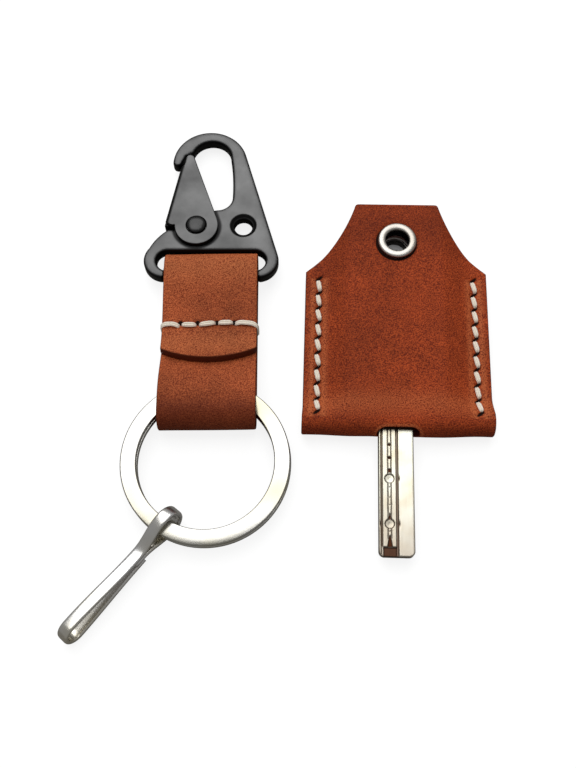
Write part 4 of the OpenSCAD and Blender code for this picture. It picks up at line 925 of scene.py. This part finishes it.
def outline_depth(points):
    """Distance in from the edge of a closed outline, less than 0 outside it: to the nearest
    of its straight pieces, and inside where a line to the right crosses it an odd number of
    times. The points are taken in lots, to save memory."""
    a, b, lot = points, np.roll(points, -1, 0), 20000

    def depth(x, y):
        """The distance in, at each point."""
        p = np.stack([np.ravel(x), np.ravel(y)], 1)
        out = np.empty(len(p))
        for i in range(0, len(p), lot):
            q = p[i:i + lot, None]
            e = b - a
            t = np.clip(((q - a) * e).sum(-1) / np.maximum((e * e).sum(-1), 1e-12), 0, 1)
            near = np.sqrt((((a + t[..., None] * e) - q) ** 2).sum(-1).min(1))
            cross = (a[:, 1] > q[..., 1]) != (b[:, 1] > q[..., 1])
            at = a[:, 0] + (q[..., 1] - a[:, 1]) * e[:, 0] / np.where(e[:, 1] == 0, 1, e[:, 1])
            inside = (cross & (q[..., 0] < at)).sum(1) % 2 == 1
            out[i:i + lot] = np.where(inside, near, -near)
        return out.reshape(np.shape(x))

    return depth


def nose_line(y):
    """Point at height y on the nose's inner face, a line along the gate's spine."""
    p = heel + spine_side * 0.4
    return np.array([p[0] + spine_dir[0] / spine_dir[1] * (y - p[1]), y])


def bend_line(p, c, q, n):
    """n points of a quadratic curve from p to q that is drawn towards c:
    p (1 - u)^2 + 2 c u (1 - u) + q u^2."""
    u = np.linspace(0, 1, n)[:, None]
    return p * (1 - u) ** 2 + 2 * c * u * (1 - u) + q * u ** 2


# The outline runs from the nose round the hook's back, down the right limb, under the slot,
# up the left side to the rivet's boss, and round the opening back to the nose.
hook_c = np.array([-1.0, clip_h - hook_r])
right_corner = np.array([slot_half + side_t - corner_r, corner_r - slot_low])
left_corner = right_corner * [-1, 1]
nose_a = 180 - np.degrees(np.arcsin((clip_h - nose_drop - hook_c[1]) / (hook_r - nose_r)))
nose_c = arc(hook_c, hook_r - nose_r, nose_a, nose_a, 1)[0]
spine_dir = (tip - [gate_tip_r, 0] - heel) / np.linalg.norm(tip - [gate_tip_r, 0] - heel)
spine_side = np.array([-spine_dir[1], spine_dir[0]])
inner_a = np.degrees(np.arctan2(-spine_dir[0], spine_dir[1]))
right_a = tangent(hook_c, hook_r, right_corner, corner_r)
shoulder = heel + [0.05, -1.1]
left_a = tangent(left_corner, corner_r, shoulder, 0)
foot = arc(left_corner, corner_r, left_a, left_a, 1)[0]
bulge = np.array([foot[1] - shoulder[1], shoulder[0] - foot[0]]) * 0.13
opening_c = np.array([-0.6, clip_h - crook_t - opening_r])
opening_low = np.array([1.0, rivet[1] + low_over_rivet + low_r])
limb_low, limb_top = opening_low + [low_r, 0], opening_c + [opening_r, 0]
notch = nose_line(tip[1] + gate_tip_r + 0.4)
opening_line = np.concatenate([
    arc(opening_low, low_r, -90, 0, 16),
    bend_line(limb_low, (limb_low + limb_top) / 2 + [bow, 0], limb_top, 12),
    arc(opening_c, opening_r, 5, 160, 30)])
frame_in = outline_depth(np.concatenate([
    arc(nose_c, nose_r, inner_a, nose_a - 360, 24),
    arc(hook_c, hook_r, nose_a, right_a, 60),
    arc(right_corner, corner_r, right_a, -90, 24),
    arc(left_corner, corner_r, 270, left_a, 24),
    bend_line(foot, (foot + shoulder) / 2 + bulge, shoulder, 12)[1:],
    arc(rivet, boss_r, 184, 80, 16), opening_line, [notch + [0.8, 0], notch]]))
slot_r = (slot_h - slot_floor) / 2


def slot_out(x, y):
    """Distance out from the wide slot: from a straight line along its middle, less r."""
    return np.hypot(np.maximum(np.abs(x) - slot_half + slot_r, 0), y - slot_floor - slot_r) - slot_r


def clip_depth(x, y):
    """Distance in from the frame's nearest edge: its outline, the lanyard hole, the slot, the
    rivet's hole, and the space between its lower corners, where the bar runs."""
    holes = np.minimum(np.hypot(x - lanyard[0], y - lanyard[1]) - lanyard_r, slot_out(x, y))
    holes = np.minimum(holes, np.hypot(x - rivet[0], y - rivet[1]) - rivet_hole_r)
    bar_gap = np.maximum(np.abs(x) - strap_half - 0.02, y - slot_floor - 1)
    return np.minimum(np.minimum(frame_in(x, y), holes), bar_gap)


def soften(gap, width, drop):
    """Fall of a face that rounds down by drop over a width towards an edge, a quarter
    ellipse."""
    return drop * (1 - np.sqrt(1 - (1 - np.clip(gap / width, 0, 1)) ** 2))


clip_step = 0.21
us, vs = np.arange(-15.2, 15.3, clip_step), np.arange(-2.0, clip_h + 0.3, clip_step)
flat, fall, faces = cut_sheet(us, vs, clip_depth, clip_round, 5)
x, y = flat.T
# The edges round the opening and the slot are rounded more than the outer ones, and the
# lanyard hole has a coned mouth
from_opening = -outline_depth(np.concatenate([opening_line, [notch, rivet + [0, boss_r]]]))(x, y)
from_hole = np.hypot(x - lanyard[0], y - lanyard[1])
soft = np.maximum.reduce([
    soften(from_opening, 1.5, 0.6) * (np.hypot(x - tip[0], y - tip[1]) > 1.2),
    soften(slot_out(x, y), 1.2, 0.55), soften(frame_in(x, y), 1.9, 0.45),
    np.clip(cone_d + lanyard_r - from_hole, 0, cone_d - clip_round)])
# Painted shade in the lanyard hole's cone, and a painted shadow round the gate. The gate's
# outline is its tip, its round end over the rivet, and a spine with a band bent out along it.
gate_a, bend_w, bend_l, spine_l = tangent(tip, gate_tip_r, rivet, gate_end_r), 0.6, 14.8, 15.8
gate_edge = outline_depth(np.concatenate([
    arc(tip, gate_tip_r, 180, gate_a, 16), arc(rivet, gate_end_r, gate_a, -180, 60),
    [heel + [0.75, -0.75], heel + spine_side * bend_w, heel + spine_dir * bend_l + spine_side * bend_w,
     heel + spine_dir * spine_l]]))
grime = ease((0.95 + gate_edge(x, y)) / 0.5) * (gate_edge(x, y) < 0.5) * (y < 16)
grime = np.maximum(grime, ease((cone_d + lanyard_r + 0.05 - from_hole) / 0.16))
# The spring's pocket, with a straight slot for its leg at each of the gate's limits
pocket_r, leg_off, leg_half, shut_l, pocket_floor = 2.38, 1.94, 0.32, 4.2, -0.4
px, py = x - rivet[0], y - rivet[1]
pocket = np.hypot(px, py) < pocket_r
open_leg = (np.abs(px + leg_off) < leg_half) & (py > 0) & (py < boss_r)
shut_leg = (np.abs(py + leg_off) < leg_half) & (px > 0) & (px < shut_l)
top = np.where((pocket | open_leg | shut_leg) & (fall < 0.01), pocket_floor, clip_t / 2 - fall - soft)
points = np.concatenate([np.stack([x, y, top], 1), np.stack([x, y, fall + soft - clip_t / 2], 1)])
# The round bar, with its ends inside the frame's lower corners
t = np.linspace(0, 2 * np.pi, 40, endpoint=False)
centres = np.linspace(-bar_half, bar_half, 24)[None, :, None] * [1.0, 0.0, 0.0]
across = np.broadcast_to([0.0, 1.0, 0.0], centres.shape)
up = np.broadcast_to([0.0, 0.0, 1.0], centres.shape)
bar_points, bar_quads, bar_fans = sweep(centres, across, up, bar_r * np.stack([np.cos(t), np.sin(t)], 1))
n = len(points)
frame_piece = skin(
    "snap_hook_frame", on_clip(np.concatenate([points, bar_points])), [faces, bar_quads + n, bar_fans + n],
    {"grime": np.concatenate([grime, 0 * grime, 0 * bar_points[:, 0]])})


def black_coat(name, colour, rough, shine):
    """Satin coat over metal with a cloudy bloom, and painted light: faces that point up or down
    get the coat's tone and a painted sheen, while side walls and places in the shade tag are
    painted dull and black. A face is told from a wall by its normal."""
    made, tree = new_material(name)
    at = add(tree, "TexCoord")
    bloom = add(tree, "TexNoise", {"Vector": (at, "Object"), "Scale": 0.12 / MM, "Detail": 5.0})
    tone = add(tree, "ValToRGB", {0: (bloom, "Fac")}, stops=((0.3, colour), (0.7, "#2A2A2A")))
    # Painted shade and sheen: colour and shine go by how far the normal points up or down
    turned = add(tree, "SeparateXYZ", {0: (at, "Normal")})
    upright = add(tree, "Math", {0: (turned, "Z")}, operation="ABSOLUTE")
    face = add(tree, "MapRange", {"Value": (upright, 0), "From Min": 0.7, "From Max": 0.975})
    # Painted shadow round the gate, and painted shade in the lanyard hole's cone and along the gate's folded
    # side
    dark_tag = add(tree, "Attribute", attribute_name="grime")
    unshaded = add(tree, "Math", {0: 1.0, 1: (dark_tag, "Fac")}, operation="SUBTRACT")
    shown = add(tree, "Math", {0: (face, 0), 1: (unshaded, 0)}, operation="MULTIPLY")
    coat = add(tree, "Mix", {0: (shown, 0), 6: linear("#070707"), 7: (tone, 0)}, data_type="RGBA")
    rubbed = add(tree, "MapRange", {
        "Value": (bloom, "Fac"), "From Min": 0.3, "From Max": 0.7,
        "To Min": shine * 0.65, "To Max": shine * 1.35})
    shining = add(tree, "MapRange", {"Value": (shown, 0), "To Min": 0.08, "To Max": (rubbed, 0)})
    cast = add(tree, "TexNoise", {"Vector": (at, "Object"), "Scale": 1.9 / MM, "Detail": 3.0})
    gloss = add(tree, "MapRange", {"Value": (bloom, "Fac"), "To Min": rough, "To Max": rough + 0.1})
    raised = add(tree, "Bump", {"Height": (cast, "Fac"), "Strength": 0.16, "Distance": 0.04 * MM})
    surface = add(tree, "BsdfPrincipled", {
        "Base Color": (coat, 2), "Roughness": (gloss, 0), "Normal": (raised, 0),
        "Specular IOR Level": (shining, 0), "IOR": 1.8})
    add(tree, "OutputMaterial", {"Surface": (surface, 0)})
    return made


# Black electrophoretic coat on cast zinc: near black, grey where the softbox shines in it.
black = black_coat("satin_black_coat", colour="#1B1B1B", rough=0.3, shine=0.55)
fit(frame_piece, black, "clip", "clip_frame")

# Gate and rivet

# The gate is one pressed steel sheet folded to a channel over the frame, sprung shut
# against the nose. It turns on a rivet with a domed head on each side.
gate_in, gate_out, sheet_t, gate_hole_r, gate_round, gate_step = 1.68, 2.58, 0.9, 2.22, 0.26, 0.2


def gate_depth(x, y):
    """Distance in from the gate's nearest edge: its outline, or the hole for the rivet."""
    return np.minimum(gate_edge(x, y), np.hypot(x - rivet[0], y - rivet[1]) - gate_hole_r)


us, vs = np.arange(-10.6, 2.0, gate_step), np.arange(5.9, 30.2, gate_step)
flat, fall, faces = cut_sheet(us, vs, gate_depth, gate_round, 4)
x, y = flat.T
# The sheet bends round its folded side
from_spine = (heel + spine_side * bend_w - np.stack([x, y], 1)) @ spine_side
bent = soften(from_spine, 1.3, 0.6)
# Painted shade along the folded side, where the sheet bends down, and over the folded strip itself
grime = np.tile(ease((0.95 - from_spine) / 0.35), 4)
sheets = [np.stack([x, y, gate_out - fall - bent], 1), np.stack([x, y, gate_in + fall], 1)]
sheets += [np.stack([x, y, -gate_in - fall], 1), np.stack([x, y, fall + bent - gate_out], 1)]
# The folded side is a strip between both cheeks, smaller at its two ends and set out by the
# bent band along most of its length
n = 2 * len(x)
spine_low, spine_top = heel - spine_dir * 0.75, tip - [gate_tip_r, 0]
s = np.concatenate([
    np.linspace(0, 0.02, 6)[:-1], np.linspace(0.02, 0.98, 40), np.linspace(0.98, 1, 6)[1:]])[:, None]
set_in = sheet_t / 2 - 0.01 - bend_w * ease((0.88 - s) / 0.05)
centres = np.concatenate([spine_low + (spine_top - spine_low) * s - spine_side * set_in, 0 * s], 1)[None]
across = np.broadcast_to(np.append(spine_side, 0), centres.shape)
up = np.broadcast_to([0.0, 0.0, 1.0], centres.shape)


def strip_outline(width, thick, r, n=5):
    """Rectangle with round corners, as (across, up) points: four quarter circles."""
    w, h = width / 2 - r, thick / 2 - r
    corners = ((1, 1, 0), (-1, 1, 90), (-1, -1, 180), (1, -1, 270))
    return np.concatenate([arc((sx * w, sy * h), r, a0, a0 + 90, n) for sx, sy, a0 in corners])


taper = 1 - 0.25 * bump(np.minimum(s, 1 - s), 0, 0.006, 1)
spine = strip_outline(sheet_t, 2 * gate_out - 1.64, 0.2) * taper[None, :, :, None]
spine_points, quads, fans = sweep(centres, across, up, spine)
gate = skin("gate_channel", on_clip(np.concatenate(sheets + [spine_points])), [
    faces, faces + n, quads[:, ::-1] + 2 * n, fans[:, ::-1] + 2 * n],
    {"grime": np.concatenate([grime, 0 * spine_points[:, 0] + 1])})
fit(gate, black, "gate", "clip_gate")

# The rivet is half a profile turned round its axis, closed at its crown, mirrored and joined
head_r, head_z, head_h, head_side, shank_r = 2.12, 2.3, 0.95, 0.3, 1.35
t = np.linspace(0, np.pi / 2, 15)[:-1]
cap = np.stack([head_r * np.cos(t) ** 0.85, head_z + head_side + (head_h - head_side) * np.sin(t)], 1)
half_line = np.concatenate([[[shank_r, 0.0], [shank_r, head_z], [head_r, head_z]], cap])
turns, k = 64, len(half_line)
half_points, quads = turned_ring(half_line, turns)
quads = quads.reshape(turns, k, 4)[:, :-1].reshape(-1, 4)
first, last = np.arange(turns) * k, np.arange(turns) * k + k - 1
crown = np.stack([last, np.roll(last, -1), np.full(turns, turns * k)], -1)
half_points = np.concatenate([half_points, [[0, 0, head_z + head_h]]])
n = len(half_points)
both = np.concatenate([half_points, half_points * [1, 1, -1]])
weld = np.stack([np.roll(first, -1), first, first + n, np.roll(first, -1) + n], -1)
rivet_piece = skin("rivet_heads", on_clip(both + [*rivet, 0]), [
    quads, crown, quads[:, ::-1] + n, crown[:, ::-1] + n, weld])
# Blackened steel, oiled: darker and glossier than the cast parts.
blued = black_coat("oil_blackened_steel", colour="#0A0A0A", rough=0.22, shine=0.24)
fit(rivet_piece, blued, "clip", "gate_rivet")

# Drawn spring wire, bare and bright: the gate's spring stays the CAD piece.
wire, tree = new_material("drawn_spring_steel")
at = add(tree, "TexCoord")
drawn = add(tree, "TexNoise", {"Vector": (at, "Object"), "Scale": 3 / MM, "Detail": 2.0})
gloss = add(tree, "MapRange", {"Value": (drawn, "Fac"), "To Min": 0.28, "To Max": 0.4})
surface = add(tree, "BsdfPrincipled", {
    "Base Color": linear("#A9A9A6"), "Metallic": 1.0, "Roughness": (gloss, 0)})
add(tree, "OutputMaterial", {"Surface": (surface, 0)})
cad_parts["gate_spring"].data.materials.clear()
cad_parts["gate_spring"].data.materials.append(wire)

# Split ring

# Hardened steel strip wound on edge into two flat turns, pressed together and polished,
# with a short slope where one turn passes to the other.
ring_r, ring_w, turn_t, turn_gap, ring_round = 17.4, 3.3, 1.05, 0.12, 0.27
ring_at = np.array([-0.07, -29.7, 3.7138])
ring_mid, jog = ring_r - ring_w / 2, 26.0
half_lift = (turn_t + turn_gap) / 2
# Angle along both turns, in degrees from the jog: the strip rises by one turn inside it
a = np.concatenate([
    np.linspace(jog / 2, 360 - jog / 2, 200), np.linspace(360 - jog / 2, 360 + jog / 2, 26)[1:-1],
    np.linspace(360 + jog / 2, 720 - jog / 2, 200)])
z = -half_lift + 2 * half_lift * ease((a - 360 + jog / 2) / jog)
a = np.radians(a + 90)
out = np.stack([np.cos(a), np.sin(a), 0 * a], 1)
# The lower turn lies a little out of line with the upper one
slip_x, slip_y, low_share = 0.16, -0.2, (half_lift - z) / (2 * half_lift)
shift = np.stack([slip_x * low_share, slip_y * low_share, z], 1)
centres = (ring_at + out * ring_mid + shift)[None]
across, up = out[None], np.broadcast_to([0.0, 0.0, 1.0], centres.shape)
points, quads, fans = sweep(centres, across, up, strip_outline(ring_w, turn_t, ring_round))
ring = skin("split_ring_turns", on_fob(points), [quads[:, ::-1], fans[:, ::-1]])
# Polished and nickel-plated steel: an almost white mirror with a trace of warmth.
polished = plated("polished_nickelled_steel", colour="#C8C6C0", warm="#BDB79E", rough=0.13, worn=0.12)
fit(ring, polished, "ring", "split_ring")

# Wire hook

# Flat spring strip bent to an eye round the ring and a long loop. Its ends lie on each
# other at the waist, so that the loop springs open when it is pulled.
strip_w, strip_t, eye_r, far_r = 2.6, 1.0, 2.5, 1.9
far_l, waist_l, lap_l, waist_gap = 26.6, 8.0, 2.0, 0.12
place_a, heading, hook_pull = np.radians(239), np.radians(230), 1.0
hook_roll, hook_dip = np.radians(12), np.radians(1.26425)
near_h, far_h, waist_h = eye_r + strip_t / 2, far_r + strip_t / 2, (strip_t + waist_gap) / 2


def hook_side(u):
    """Half height of the loop at a length u from the eye: it eases in from the eye to the
    waist, where both strips touch, and out again to the far bend."""
    first = near_h + (waist_h - near_h) * ease(u / waist_l)
    second = waist_h + (far_h - waist_h) * ease((u - waist_l) / (far_l - waist_l))
    return np.where(u <= waist_l, first, second)


def hook_under(u):
    """The same for the side that comes back: it laps over the first end, so at the waist it
    lies three half strips out."""
    t = (u - waist_l - lap_l) / (far_l - waist_l - lap_l)
    return 3 * waist_h + (far_h - 3 * waist_h) * ease(t)


u0, u1 = np.linspace(0, waist_l, 30)[1:], np.linspace(waist_l, far_l, 60)[1:-1]
hook_line = np.concatenate([
    [[waist_l + lap_l, -waist_h]], np.stack([u0[::-1], -hook_side(u0[::-1])], 1),
    arc((0, 0), near_h, 270, 90, 40), np.stack([u0, hook_side(u0)], 1), np.stack([u1, hook_side(u1)], 1),
    arc((far_l, 0), far_h, 90, -90, 32), np.stack([u1[::-1], -hook_under(u1[::-1])], 1),
    [[waist_l, -3 * waist_h]]])
# Points that fall together are dropped
steps = np.linalg.norm(np.diff(hook_line, axis=0), axis=1)
hook_line = hook_line[np.concatenate([[True], steps > 1e-6])]
centres = np.stack([hook_line[:, 0], 0 * hook_line[:, 0], hook_line[:, 1]], 1)[None]
across, up = path_frames(centres, np.broadcast_to([0.0, 1.0, 0.0], centres.shape))
# The strip's section is a rounded box with a low crown: powers of the cosine and the sine
t = np.linspace(0, 2 * np.pi, 32, endpoint=False)
c, s = np.cos(t), np.sin(t)
crown = np.stack([
    np.sign(c) * np.abs(c) ** 0.42 * strip_w / 2, np.sign(s) * np.abs(s) ** 0.62 * strip_t / 2], 1)
points, quads, fans = sweep(centres, across, up, crown)


def on_hook(p):
    """From the hook's own place, its eye at the origin, to the table: pulled against the ring,
    rolled, dipped, headed outwards and moved to its place on the ring."""
    p = spun(spun(spun(p - [hook_pull, 0, 0], hook_roll, 1, 2), -hook_dip, 0, 2), heading, 0, 1)
    place = ring_mid * np.array([np.cos(place_a), np.sin(place_a), 0])
    return on_fob(p + ring_at + place)


wire_hook = skin("wire_hook_strip", on_hook(points), [quads, fans])
# The same plate over spring steel, tumbled bright: lighter and a little softer than the ring.
bright = plated("tumbled_bright_nickel", colour="#ECEBEA", warm="#DFDACB", rough=0.2, worn=0.12)
fit(wire_hook, bright, "wire_hook", "wire_hook")
